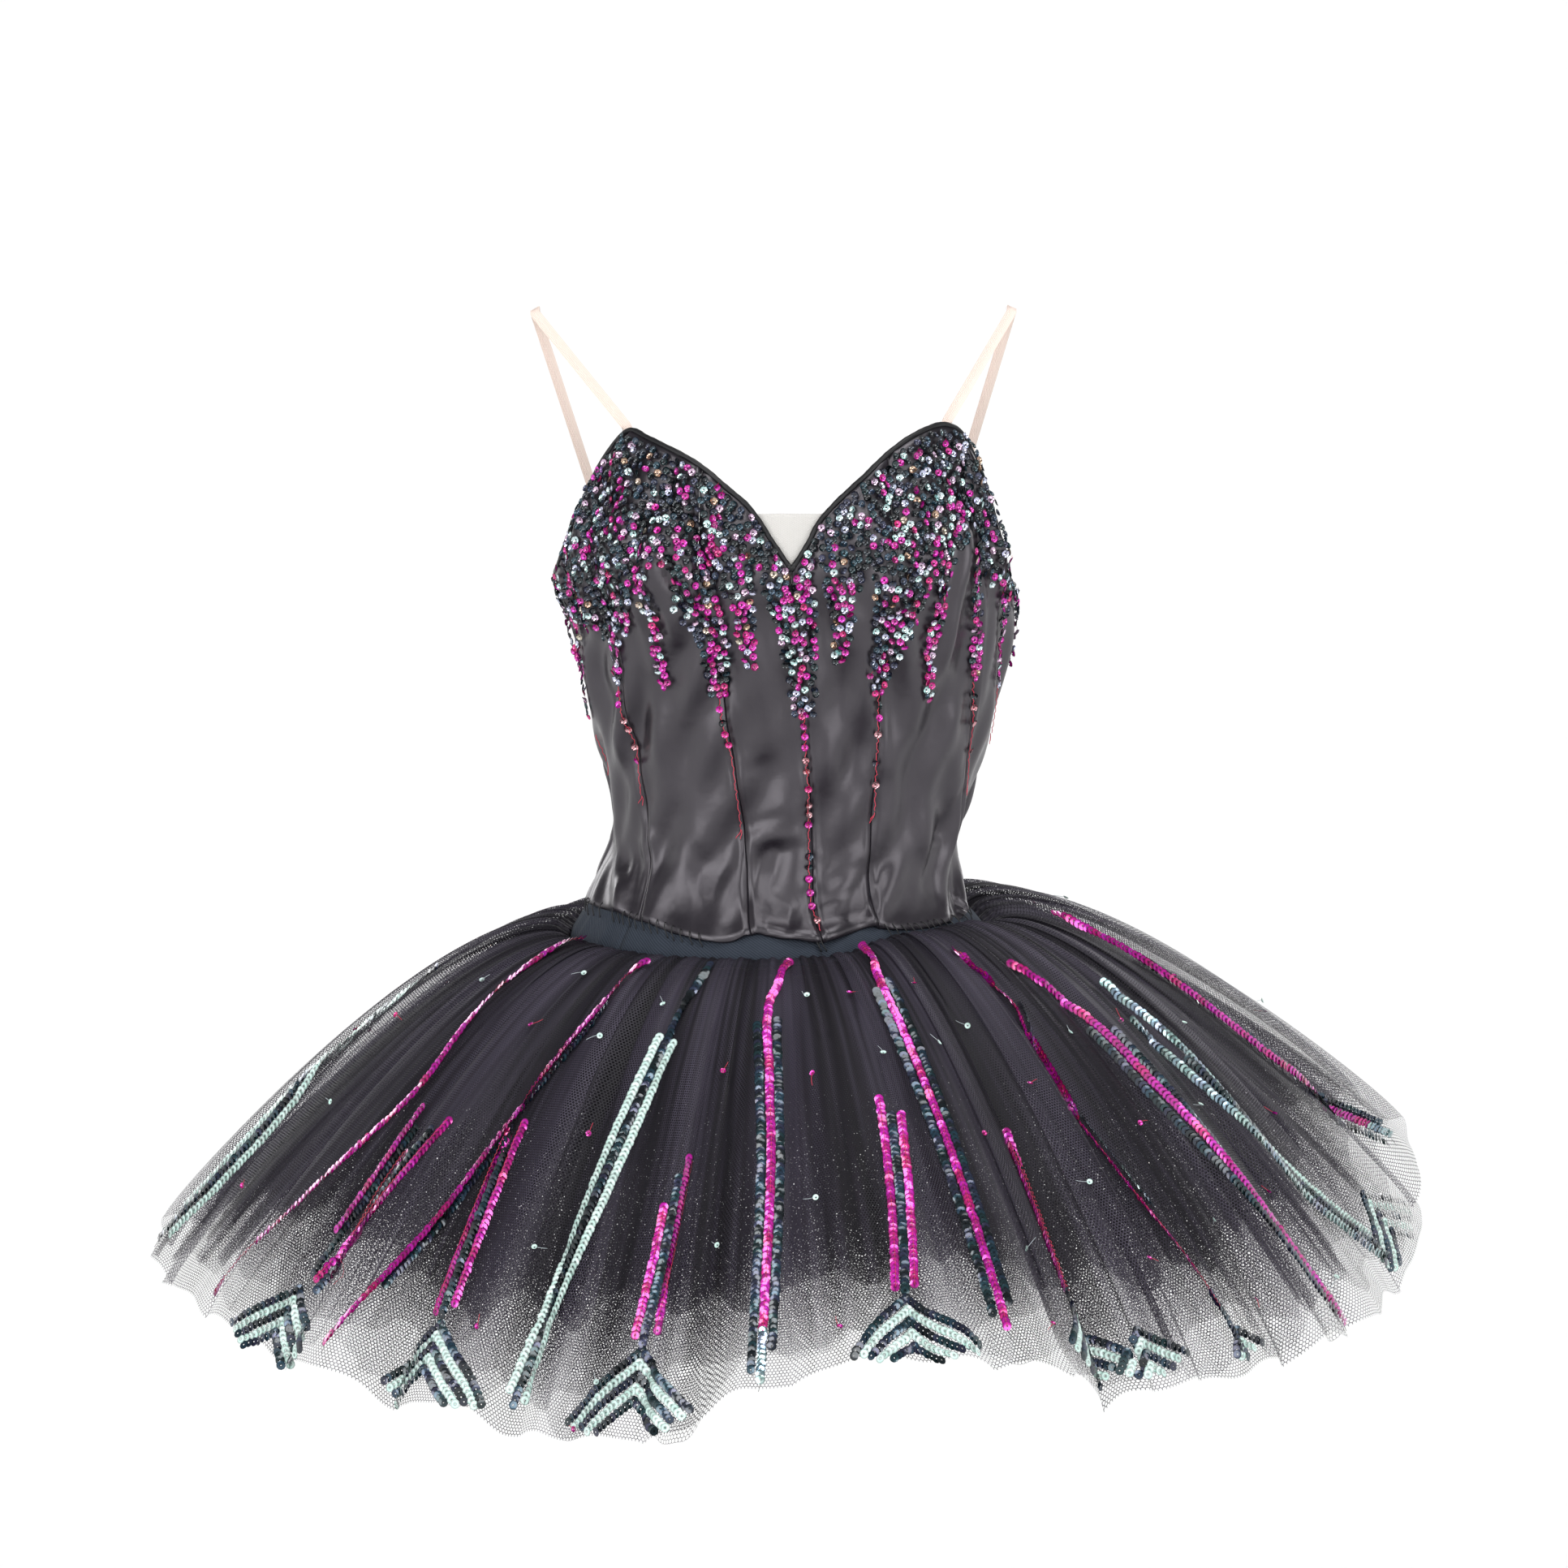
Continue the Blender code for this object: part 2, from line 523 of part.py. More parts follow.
def add_basque_piece(piece):
    """Piece of the hip yoke, from just below the waist to under the net's seams."""
    def surface(u, v):
        height = mix(BASQUE[0].height, BASQUE[-1].height, v)
        angle = mix(piece.start_angle, piece.end_angle, u)
        point = basque_point(angle, height)
        gap = SEAM_GAP / 2 * (1 - 2 * u)
        return basque_point(angle + math.degrees(gap / math.hypot(point.x, point.y)), height)

    full = BASQUE[-1].height - BASQUE[0].height
    rows = [(row.height - BASQUE[0].height) / full for row in BASQUE]
    return add_wall(piece.name, surface, even_steps(piece.columns), rows, BASQUE_WALL, TWILL)


def flute_height(angle):
    """How far a flute lifts the net at an angle: narrow valleys between broad round ridges."""
    index = 0
    while index < len(FLUTES) - 2 and angle > FLUTES[index + 1].valley:
        index += 1
    low, high = FLUTES[index], FLUTES[index + 1]
    share = min(max((angle - low.valley) / (high.valley - low.valley), 0.0), 1.0)
    depth = mix(low.depth, high.depth, share)
    return depth * (max(math.sin(math.pi * share), 0.0) ** FLUTE_ROUNDNESS - FLUTE_MIDDLE)


def net_point(angle, reach, layer):
    """Upper face of a net layer at an angle and at a straight distance from its seam."""
    row = read_table(SKIRT, angle)
    slope = math.radians(row.slope)
    away = outward(angle)
    down_slope = away * math.cos(slope) - UP * math.sin(slope)
    above = away * math.sin(slope) + UP * math.cos(slope)
    share = min(max(reach / SKIRT_REACH, 0.0), 1.0)
    puff = row.fullness * max(math.sin(math.pi * share ** PUFF_START), 0.0) ** PUFF_SHAPE
    flute = flute_height(angle) * share ** FLUTE_GROWTH
    spread = layer * LAYER_SPREAD * share
    seam = basque_point(angle, row.top_height - layer * LAYER_STEP, NET_SEAT)
    return seam + down_slope * reach * row.length + above * (puff + flute - spread)


def add_net_layer(number, layer):
    """Gathered net layer, open at the centre back, with a few columns for each flute."""
    angles = []
    for low, high in zip(FLUTES, FLUTES[1:]):
        angles += [mix(low.valley, high.valley, share) for share in FLUTE_COLUMNS]
    angles.append(FLUTES[-1].valley)
    angles[0] += NET_OPENING
    angles[-1] -= NET_OPENING

    def surface(angle, reach):
        return net_point(angle, reach, number)

    return add_wall(layer.name, surface, angles, list(layer.rings), NET_WALL, NET)


def build_tutu():
    clear_scene()
    for panel in PANELS:
        add_panel(panel)
    add_binding("neckline_binding_right", TOP_EDGE_RIGHT)
    add_binding("neckline_binding_left", TOP_EDGE_LEFT)
    add_insert()
    add_placket()
    for strap in STRAPS:
        add_strap(strap)
    for piece in BASQUE_PIECES:
        add_basque_piece(piece)
    for number, layer in enumerate(LAYERS):
        add_net_layer(number, layer)


build_tutu()
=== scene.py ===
"""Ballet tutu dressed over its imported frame: satin bodice, sequins, straps, basque and a gathered net skirt.

Metres, +Z up, with the origin at the centre of the waist. +X is the wearer's left, and the wearer faces -Y.
Angles go round the body in degrees: 0 at the front, +90 at the wearer's left, 180 at the back.
"""
import json
import math
from collections import namedtuple

import bpy
import numpy as np
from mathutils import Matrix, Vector

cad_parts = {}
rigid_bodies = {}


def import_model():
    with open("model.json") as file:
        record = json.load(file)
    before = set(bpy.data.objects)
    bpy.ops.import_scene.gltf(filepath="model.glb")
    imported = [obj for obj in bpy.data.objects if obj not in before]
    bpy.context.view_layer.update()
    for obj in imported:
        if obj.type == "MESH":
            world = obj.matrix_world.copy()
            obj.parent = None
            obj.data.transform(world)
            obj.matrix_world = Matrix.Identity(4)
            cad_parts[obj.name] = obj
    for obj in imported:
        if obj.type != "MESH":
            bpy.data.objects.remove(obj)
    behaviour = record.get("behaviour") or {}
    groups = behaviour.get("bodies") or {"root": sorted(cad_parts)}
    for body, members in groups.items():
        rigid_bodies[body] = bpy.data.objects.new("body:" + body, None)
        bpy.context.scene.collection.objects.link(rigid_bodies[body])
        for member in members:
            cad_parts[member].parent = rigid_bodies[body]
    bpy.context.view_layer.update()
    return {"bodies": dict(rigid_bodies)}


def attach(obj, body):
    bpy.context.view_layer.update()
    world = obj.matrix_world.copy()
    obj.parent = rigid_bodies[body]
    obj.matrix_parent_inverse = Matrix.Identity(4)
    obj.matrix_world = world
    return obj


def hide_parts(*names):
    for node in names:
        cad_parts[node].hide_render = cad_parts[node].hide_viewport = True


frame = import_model()
body_name = next(iter(frame["bodies"]))

# ---------------------------------------------------------------- camera, light and floor

CAMERA_TARGET = Vector((-0.0005, 0.0, 0.035))
CAMERA_DISTANCE = 4.0
CAMERA_ELEVATION = 10.0
CAMERA_LENS = 149.07
SENSOR_WIDTH = 36.0
FLOOR_HEIGHT = -1.05       # the tutu is held at a dancer's waist height
FLOOR_HALF = 80.0
WALL_LOW, WALL_HIGH = 1.05, 0.18   # radiance of the studio near the floor and overhead
WALL_FADE = (0.13, 0.40)           # how far up a direction points where it starts and ends to darken
# soft lamps far away: direction each shines from (round from the front, up), strength, degrees wide
SUNS = [
    ("lamp_left", -42.0, 8.0, 1.25, 34.0), ("lamp_right", 40.0, 10.0, 1.00, 34.0),
    ("lamp_front", -12.0, 38.0, 0.80, 22.0), ("lamp_top", 60.0, 74.0, 1.58, 40.0),
    ("lamp_back_left", -140.0, 14.0, 0.60, 26.0), ("lamp_back_right", 146.0, 14.0, 0.60, 26.0),
]

# ---------------------------------------------------------------- the garment's form, as in its solids

SATIN_WALL = 0.0014
BASQUE_WALL = 0.0012
INSERT_WALL = 0.0006
INSERT_START = -7.6
INSERT_END = 9.6
INSERT_TOP = 0.2155
INSERT_TUCK = 0.008
INSERT_GAP = 0.0014
FRONT_RADIUS = 0.1          # rough radius at the V, to lay the insert's weave out flat
PLACKET_START, PLACKET_TURN = 171.0, 18.0        # angle of its first edge, degrees across
PLACKET_BOTTOM, PLACKET_HEIGHT = -0.005, 0.151
PLACKET_GAP, PLACKET_WALL = 0.0008, 0.0012
BACK_RADIUS = 0.08          # rough radius at the back, to lay the placket's weave out flat
BASQUE_BOTTOM, BASQUE_HEIGHT = -0.075, 0.067
BASQUE_RADIUS = 0.115       # rough radius of the basque
BASQUE_FLAT = -0.038        # it ripples only below this height
BINDING_RADIUS = 0.0017
BINDING_RISE = 0.45         # share of its radius that the middle of the binding stands above the satin's edge
BINDING_END = 0.0022        # the end at the V stands this far to its side of the centre seam
SEAM_GAP = 0.0003

# height, half width, centre x, front depth, back depth
BODY = [
    (-0.045, 0.1235, -0.0050, 0.1005, 0.0965), (-0.036, 0.1160, -0.0060, 0.0905, 0.0865),
    (-0.016, 0.1090, -0.0030, 0.0810, 0.0760), (0.000, 0.1065, 0.0000, 0.0770, 0.0720),
    (0.040, 0.1130, 0.0040, 0.0800, 0.0740), (0.078, 0.1235, 0.0050, 0.0850, 0.0780),
    (0.110, 0.1290, 0.0050, 0.0900, 0.0810), (0.142, 0.1350, 0.0040, 0.0960, 0.0840),
    (0.170, 0.1415, 0.0000, 0.1000, 0.0860), (0.190, 0.1415, 0.0000, 0.1000, 0.0850),
    (0.230, 0.1320, 0.0000, 0.0950, 0.0800), (0.250, 0.1240, 0.0000, 0.0900, 0.0760),
    (0.280, 0.1100, 0.0000, 0.0800, 0.0700),
]
CUP_CENTRE_X = 0.074
CUP_HEIGHT = 0.185
CUP_HALF_WIDTH = 0.040
CUP_HALF_HEIGHT = 0.052
CUP_FULLNESS = 0.013

# angle, height
TOP_EDGE_RIGHT = [
    (1.6, 0.181), (-2.6, 0.196), (-8.8, 0.2175), (-15.3, 0.230), (-22.7, 0.2415), (-31.0, 0.2495),
    (-43.3, 0.257), (-52.3, 0.260), (-58.0, 0.247), (-61.8, 0.228), (-66.0, 0.205), (-70.4, 0.187),
    (-77.0, 0.173), (-91.0, 0.165), (-112.0, 0.163), (-140.0, 0.160), (-180.0, 0.152),
]
TOP_EDGE_LEFT = [
    (1.6, 0.181), (5.9, 0.1975), (8.9, 0.2105), (14.3, 0.2235), (21.6, 0.2365), (29.9, 0.249),
    (39.3, 0.258), (50.0, 0.263), (57.0, 0.2625), (62.6, 0.256), (64.8, 0.2365), (65.8, 0.220),
    (66.6, 0.205), (68.8, 0.185), (72.6, 0.172), (79.0, 0.162), (92.0, 0.158), (115.0, 0.157),
    (145.0, 0.156), (180.0, 0.152),
]
HEM_EDGE = [
    (-180.0, -0.040), (-135.0, -0.039), (-90.0, -0.0375), (-60.0, -0.0355), (-39.0, -0.0385),
    (-16.0, -0.0444), (-5.0, -0.0400), (6.0, -0.0432), (14.0, -0.0445), (28.0, -0.0385), (40.0, -0.0410),
    (60.0, -0.0420), (77.0, -0.0415), (92.0, -0.0370), (135.0, -0.0390), (180.0, -0.040),
]
# seams of the bodice: height, angle
CENTRE_FRONT = [(-0.045, 13.3), (0.03, 6.7), (0.08, 3.3), (0.181, 1.6)]
PRINCESS_RIGHT = [(-0.045, -6.5), (0.02, -14.6), (0.082, -18.4), (0.133, -20.4), (0.2415, -22.7)]
SIDE_FRONT_RIGHT = [(-0.045, -45.0), (-0.013, -48.8), (0.036, -53.6), (0.128, -53.2), (0.260, -52.3)]
SIDE_RIGHT = [(-0.045, -92.0), (0.165, -91.0)]
BACK_RIGHT = [(-0.045, -180.0), (0.152, -180.0)]
PRINCESS_LEFT = [(-0.045, 33.0), (0.03, 26.7), (0.08, 24.7), (0.12, 24.9), (0.249, 29.9)]
SIDE_FRONT_LEFT = [(-0.045, 76.0), (0.0, 73.0), (0.043, 68.0), (0.10, 60.0), (0.178, 57.0), (0.256, 62.6)]
SIDE_LEFT = [(-0.045, 95.0), (0.158, 92.0)]
BACK_LEFT = [(-0.045, 180.0), (0.152, 180.0)]

Panel = namedtuple("Panel", "name start end edge start_row end_row columns flat carriers")
PANELS = [
    Panel("centre_front_right", CENTRE_FRONT, PRINCESS_RIGHT, TOP_EDGE_RIGHT, 0, 4, 40, (0.055, 0.285),
          ["basque_front_right"]),
    Panel("side_front_right", PRINCESS_RIGHT, SIDE_FRONT_RIGHT, TOP_EDGE_RIGHT, 4, 7, 48, (0.085, 0.310),
          ["strap_right", "basque_front_right"]),
    Panel("side_right", SIDE_FRONT_RIGHT, SIDE_RIGHT, TOP_EDGE_RIGHT, 7, 13, 40, (0.066, 0.303),
          ["basque_back_right"]),
    Panel("back_right", SIDE_RIGHT, BACK_RIGHT, TOP_EDGE_RIGHT, 13, 16, 56, (0.165, 0.215),
          ["strap_right", "basque_back_right"]),
    Panel("centre_front_left", CENTRE_FRONT, PRINCESS_LEFT, TOP_EDGE_LEFT, 0, 5, 40, (0.058, 0.295),
          ["basque_front_left"]),
    Panel("side_front_left", PRINCESS_LEFT, SIDE_FRONT_LEFT, TOP_EDGE_LEFT, 5, 9, 48, (0.088, 0.315),
          ["strap_left", "basque_front_left"]),
    Panel("side_left", SIDE_FRONT_LEFT, SIDE_LEFT, TOP_EDGE_LEFT, 9, 16, 36, (0.046, 0.298),
          ["basque_back_left"]),
    Panel("back_left", SIDE_LEFT, BACK_LEFT, TOP_EDGE_LEFT, 16, 19, 56, (0.160, 0.212),
          ["strap_left", "basque_back_left"]),
]
PANEL_ROWS = 92
SEAM_CROWDING = 0.35        # how much closer the columns stand by the seams

BASQUE = [
    (-0.075, 0.1325, -0.0030, 0.1090, 0.1040), (-0.057, 0.1290, -0.0030, 0.1045, 0.0995),
    (-0.048, 0.1225, -0.0040, 0.0975, 0.0935), (-0.036, 0.1125, -0.0060, 0.0865, 0.0830),
    (-0.008, 0.1030, -0.0020, 0.0745, 0.0700),
]
BasquePiece = namedtuple("BasquePiece", "name start end columns flat")
BASQUE_PIECES = [
    BasquePiece("basque_back_right", -180.0, -50.0, 60, (0.255, 0.080)),
    BasquePiece("basque_front_right", -50.0, 12.0, 34, (0.125, 0.080)),
    BasquePiece("basque_front_left", 12.0, 70.0, 32, (0.118, 0.080)),
    BasquePiece("basque_back_left", 70.0, 180.0, 52, (0.220, 0.080)),
]

# net skirt: angle, height of the top edge, slope, fullness, share of the length that lies straight
SKIRT = [
    (-180.0, -0.054, 34.0, 0.031, 0.98), (-150.0, -0.055, 36.0, 0.031, 0.98),
    (-120.0, -0.057, 38.5, 0.031, 0.96), (-90.0, -0.059, 37.5, 0.034, 0.95),
    (-60.0, -0.058, 37.5, 0.036, 0.96), (-41.0, -0.0575, 41.0, 0.034, 0.97),
    (-24.0, -0.0565, 44.0, 0.032, 0.99), (-11.0, -0.056, 40.5, 0.030, 1.00),
    (3.0, -0.056, 32.5, 0.028, 0.98), (18.0, -0.054, 31.0, 0.028, 0.98),
    (30.0, -0.047, 41.0, 0.031, 1.00), (42.0, -0.046, 43.5, 0.033, 1.00),
    (60.0, -0.046, 43.0, 0.034, 0.99), (82.0, -0.053, 42.0, 0.036, 1.00),
    (96.0, -0.056, 36.0, 0.036, 1.00), (114.0, -0.053, 27.5, 0.034, 1.00),
    (132.0, -0.051, 27.5, 0.034, 0.99), (156.0, -0.053, 34.0, 0.031, 0.98),
    (180.0, -0.054, 34.0, 0.031, 0.98),
]
# flutes: angle of each valley, depth at the hem
FLUTES = [
    (-180.0, 0.012), (-165.0, 0.016), (-151.0, 0.013), (-136.0, 0.018), (-121.0, 0.014),
    (-106.0, 0.016), (-91.0, 0.013), (-76.0, 0.018), (-62.0, 0.015), (-49.0, 0.019), (-37.0, 0.013),
    (-24.0, 0.010), (-11.5, 0.018), (1.0, 0.012), (17.0, 0.019), (31.0, 0.017), (44.0, 0.018),
    (57.0, 0.015), (71.0, 0.018), (86.0, 0.014), (101.0, 0.018), (117.0, 0.015), (133.0, 0.017),
    (149.0, 0.013), (165.0, 0.016), (180.0, 0.012),
]
FLUTE_ROUNDNESS = 0.7
FLUTE_MIDDLE = 0.6
FLUTE_GROWTH = 0.9
PUFF_START = 0.63
PUFF_SHAPE = 0.75
SKIRT_REACH = 0.340
NET_SEAT = 0.0008
LAYER_STEP = 0.0045
LAYER_SPREAD = 0.0095
NET_PITCH = 0.0020         # across one hexagon of the net


def table_slopes(rows):
    """Slope of every column at every row of a table."""
    last = len(rows) - 1
    after = np.minimum(np.arange(last + 1) + 1, last)
    before = np.maximum(np.arange(last + 1) - 1, 0)
    return (rows[after] - rows[before]) / (rows[after, :1] - rows[before, :1])


def read_table(rows, position):
    """Every column of a table at positions in its first column, on smooth curves."""
    rows = np.asarray(rows, float)
    position = np.clip(position, rows[0, 0], rows[-1, 0])
    index = np.clip(np.searchsorted(rows[:, 0], position, side="left") - 1, 0, len(rows) - 2)
    slopes = table_slopes(rows)
    low, high = rows[index], rows[index + 1]
    span = (high[..., 0] - low[..., 0])[..., None]
    share = (np.asarray(position) - low[..., 0])[..., None] / span
    rise = high - low
    start = slopes[index] * span - rise
    end = rise - slopes[index + 1] * span
    return low + rise * share + share * (1 - share) * (start * (1 - share) + end * share)


def read_edge(edge, station):
    """Angle and height of an edge at stations, where row number n is station n."""
    numbered = np.column_stack([np.arange(len(edge)), edge])
    row = read_table(numbered, station)
    return row[..., 1], row[..., 2]


def outward(angle):
    turn = np.radians(angle)
    return np.stack([np.sin(turn), -np.cos(turn), np.zeros_like(turn)], -1)


def unit(vectors):
    return vectors / np.maximum(np.linalg.norm(vectors, axis=-1, keepdims=True), 1e-12)


def square_to(normals, vectors):
    """Unit vectors along the part of vectors that lies square to normals."""
    return unit(vectors - normals * np.sum(vectors * normals, -1, keepdims=True))


def lengths_along(points):
    """Distance along a path from its start to each of its points."""
    return np.concatenate([[0.0], np.cumsum(np.linalg.norm(np.diff(points, axis=0), axis=1))])


def even_grid(columns, rows):
    """Two grids of numbers from 0 to 1: across the columns and up the rows."""
    return np.meshgrid(np.linspace(0.0, 1.0, columns), np.linspace(0.0, 1.0, rows), indexing="ij")


def section_point(width, centre, front, back, angle, height, inset):
    direction = outward(angle)
    depth = np.where(direction[..., 1] < 0, front, back)
    x = centre + (width - inset) * direction[..., 0]
    y = (depth - inset) * direction[..., 1]
    return np.stack([x, y, height], -1)


def body_point(angle, height, inset=0.0):
    """Points of the bodice's outer face, or this far inside it."""
    angle, height = np.broadcast_arrays(np.asarray(angle, float), np.asarray(height, float))
    row = read_table(BODY, height)
    point = section_point(row[..., 1], row[..., 2], row[..., 3], row[..., 4], angle, height, inset)
    above = (height - CUP_HEIGHT) / CUP_HALF_HEIGHT
    for side in (-1, 1):
        across = (point[..., 0] - side * CUP_CENTRE_X) / CUP_HALF_WIDTH
        swell = CUP_FULLNESS * np.exp(-across ** 2 - above ** 2)
        point[..., 1] -= np.where(point[..., 1] < 0, swell, 0.0)
    return point


def body_normal(angle, height):
    across = body_point(angle + 1.0, height) - body_point(angle - 1.0, height)
    upward = body_point(angle, height + 0.002) - body_point(angle, height - 0.002)
    return unit(np.cross(across, upward))


def basque_point(angle, height, outset=0.0):
    angle, height = np.broadcast_arrays(np.asarray(angle, float), np.asarray(height, float))
    rows = np.asarray(BASQUE, float)
    columns = [np.interp(height, rows[:, 0], rows[:, k]) for k in range(1, 5)]
    return section_point(*columns, angle, height, -outset)


def flute_height(angle):
    rows = np.asarray(FLUTES, float)
    index = np.clip(np.searchsorted(rows[:, 0], angle, side="left") - 1, 0, len(rows) - 2)
    low, high = rows[index], rows[index + 1]
    share = np.clip((angle - low[..., 0]) / (high[..., 0] - low[..., 0]), 0.0, 1.0)
    depth = low[..., 1] + (high[..., 1] - low[..., 1]) * share
    wave = np.clip(np.sin(np.pi * share), 0.0, 1.0) ** FLUTE_ROUNDNESS
    return depth * (wave - FLUTE_MIDDLE)


def net_point(angle, reach, layer, lift=0.0):
    """Points of a net layer at an angle and a straight distance from its seam, lifted off by a length."""
    angle, reach = np.broadcast_arrays(np.asarray(angle, float), np.asarray(reach, float))
    row = read_table(SKIRT, angle)
    slope = np.radians(row[..., 2])[..., None]
    away = outward(angle)
    up = np.array([0.0, 0.0, 1.0])
    down_slope = away * np.cos(slope) - up * np.sin(slope)
    above = away * np.sin(slope) + up * np.cos(slope)
    share = np.clip(reach / SKIRT_REACH, 0.0, 1.1)
    inside = np.clip(share, 0.0, 1.0)
    puff = row[..., 3] * np.clip(np.sin(np.pi * inside ** PUFF_START), 0.0, 1.0) ** PUFF_SHAPE
    flute = flute_height(angle) * share ** FLUTE_GROWTH
    spread = layer * LAYER_SPREAD * share
    seam = basque_point(angle, row[..., 1] - layer * LAYER_STEP, NET_SEAT)
    rise = puff + flute - spread + lift
    return seam + down_slope * (reach * row[..., 4])[..., None] + above * rise[..., None]


# ---------------------------------------------------------------- building meshes


def new_object(name, points, faces, material, smooth=True):
    """Mesh object from arrays; faces is a list of arrays that each hold faces with one number of corners."""
    mesh = bpy.data.meshes.new(name)
    points = np.asarray(points, np.float32).reshape(-1, 3)
    faces = [np.asarray(part, np.int32) for part in faces if len(part)]
    corners = np.concatenate([part.ravel() for part in faces])
    totals = np.concatenate([np.full(len(part), part.shape[1], np.int32) for part in faces])
    starts = np.concatenate([[0], np.cumsum(totals)[:-1]]).astype(np.int32)
    mesh.vertices.add(len(points))
    mesh.vertices.foreach_set("co", points.ravel())
    mesh.loops.add(len(corners))
    mesh.loops.foreach_set("vertex_index", corners)
    mesh.polygons.add(len(totals))
    mesh.polygons.foreach_set("loop_start", starts)
    mesh.update(calc_edges=True)
    mesh.validate()
    if smooth:
        mesh.shade_smooth()
    mesh.materials.append(material)
    piece = bpy.data.objects.new(name, mesh)
    bpy.context.scene.collection.objects.link(piece)
    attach(piece, body_name)
    return piece


def set_uv(piece, values):
    """UV map in metres of cloth, from one value for each vertex."""
    mesh = piece.data
    layer = mesh.uv_layers.new(name="cloth")
    index = np.empty(len(mesh.loops), np.int32)
    mesh.loops.foreach_get("vertex_index", index)
    layer.data.foreach_set("uv", np.asarray(values, np.float32).reshape(-1, 2)[index].ravel())


def set_number(piece, name, values):
    """Named number on each vertex, which the material reads."""
    attribute = piece.data.attributes.new(name, "FLOAT", "POINT")
    attribute.data.foreach_set("value", np.asarray(values, np.float32).ravel())


def set_colour(piece, name, values):
    attribute = piece.data.attributes.new(name, "FLOAT_COLOR", "POINT")
    attribute.data.foreach_set("color", np.asarray(values, np.float32).ravel())


def grid_faces(columns, rows, start=0, turned=False):
    """Quads of a grid of points that is stored column by column."""
    i = np.arange(columns - 1)[:, None]
    j = np.arange(rows - 1)[None, :]
    a = start + i * rows + j
    b = a + rows
    quads = np.stack([a, b, b + 1, a + 1], -1).reshape(-1, 4)
    return quads[:, ::-1] if turned else quads


def rim_faces(columns, rows, depth):
    """Quads that join an outer grid to the inner grid, which starts at number depth."""
    i = np.arange(columns - 1)
    j = np.arange(rows - 1)
    low, high = i * rows, i * rows + rows - 1
    first, last = j, (columns - 1) * rows + j
    parts = [
        np.stack([low, low + depth, low + rows + depth, low + rows], -1),
        np.stack([high, high + rows, high + rows + depth, high + depth], -1),
        np.stack([first, first + 1, first + 1 + depth, first + depth], -1),
        np.stack([last, last + depth, last + 1 + depth, last + 1], -1),
    ]
    return np.concatenate(parts)


def add_shell(name, outer, inner, material, uv):
    """Closed wall of cloth between two grids of the same size."""
    columns, rows = outer.shape[:2]
    depth = columns * rows
    faces = np.concatenate([
        grid_faces(columns, rows), grid_faces(columns, rows, depth, turned=True),
        rim_faces(columns, rows, depth)])
    points = np.concatenate([outer.reshape(-1, 3), inner.reshape(-1, 3)])
    piece = new_object(name, points, [faces], material)
    set_uv(piece, np.concatenate([uv.reshape(-1, 2), uv.reshape(-1, 2)]))
    return piece


def frames_along(path, normals):
    """Unit vectors across a path and out of its surface, from one normal for all or one for each point."""
    along = np.empty_like(path)
    along[1:-1] = path[2:] - path[:-2]
    along[0] = path[1] - path[0]
    along[-1] = path[-1] - path[-2]
    along = unit(along)
    across = unit(np.cross(along, normals))
    return across, unit(np.cross(across, along))


def tube_parts(path, normals, radii, sides, start=0):
    """Points and faces of a closed tube along a path; radii are across it and out of the surface."""
    across, out = frames_along(path, normals)
    turn = 2 * np.pi * np.arange(sides) / sides
    wide, high = (radii, radii) if np.isscalar(radii) else radii
    wide = np.broadcast_to(wide, len(path))[:, None, None]
    high = np.broadcast_to(high, len(path))[:, None, None]
    ring = across[:, None] * np.cos(turn)[None, :, None] * wide
    ring = ring + out[:, None] * np.sin(turn)[None, :, None] * high
    points = (path[:, None] + ring).reshape(-1, 3)
    i = np.arange(len(path) - 1)[:, None]
    k = np.arange(sides)[None, :]
    a = start + i * sides + k
    b = start + i * sides + (k + 1) % sides
    quads = np.stack([a, b, b + sides, a + sides], -1).reshape(-1, 4)
    caps = np.stack([start + np.arange(sides)[::-1], start + len(points) - sides + np.arange(sides)])
    return points, quads, caps


def add_tubes(name, tubes, sides, material):
    """One piece of many closed tubes, each a (path, normals, radii)."""
    points, quads, caps, count = [], [], [], 0
    for path, normals, radii in tubes:
        part, sheet, ends = tube_parts(path, normals, radii, sides, count)
        points.append(part)
        quads.append(sheet)
        caps.append(ends)
        count += len(part)
    faces = [np.concatenate(quads), np.concatenate(caps)]
    return new_object(name, np.concatenate(points), faces, material)


# ---------------------------------------------------------------- materials

# dark and light of each cloth's threads
# the satin's two colours make broad cloudy patches, partly its own tone and partly painted sheen
SATIN_TONE_AND_PAINTED_SHEEN = (0.0065, 0.0052, 0.0075, 1.0), (0.0190, 0.0160, 0.0220, 1.0)
TWILL_COLOURS = (0.017, 0.023, 0.034, 1.0), (0.041, 0.051, 0.070, 1.0)
TWILL_WEAR = (0.040, 0.048, 0.064, 1.0)
BINDING_COLOURS = (0.006, 0.006, 0.007, 1.0), (0.014, 0.014, 0.016, 1.0)
RIBBON_COLOURS = (0.82, 0.66, 0.58, 1.0), (0.92, 0.79, 0.72, 1.0)
RIBBON_WEAR = (0.86, 0.72, 0.65, 1.0)
INSERT_COLOURS = (0.66, 0.645, 0.62, 1.0), (0.54, 0.525, 0.505, 1.0)
STEEL_COLOUR = (0.10, 0.10, 0.11, 1.0)
FLOOR_COLOURS = (0.92, 0.92, 0.92, 1.0), (0.95, 0.95, 0.95, 1.0)
# metres from thread to thread
SATIN_THREAD = 0.00042
TWILL_RIB = 0.0013
RIBBON_RIB = 0.0009
INSERT_THREAD = 0.00075
# painted shade in valleys and painted highlight on ridges: how much lighter than its tone the net is painted
# there
NET_VALLEY_PAINTED_SHADE, NET_RIDGE_PAINTED_HIGHLIGHT = 0.35, 3.2
PLY_SHIFT = (0.0007, 0.0011)   # from one ply of net to the next
PLY_TURN = 17.0


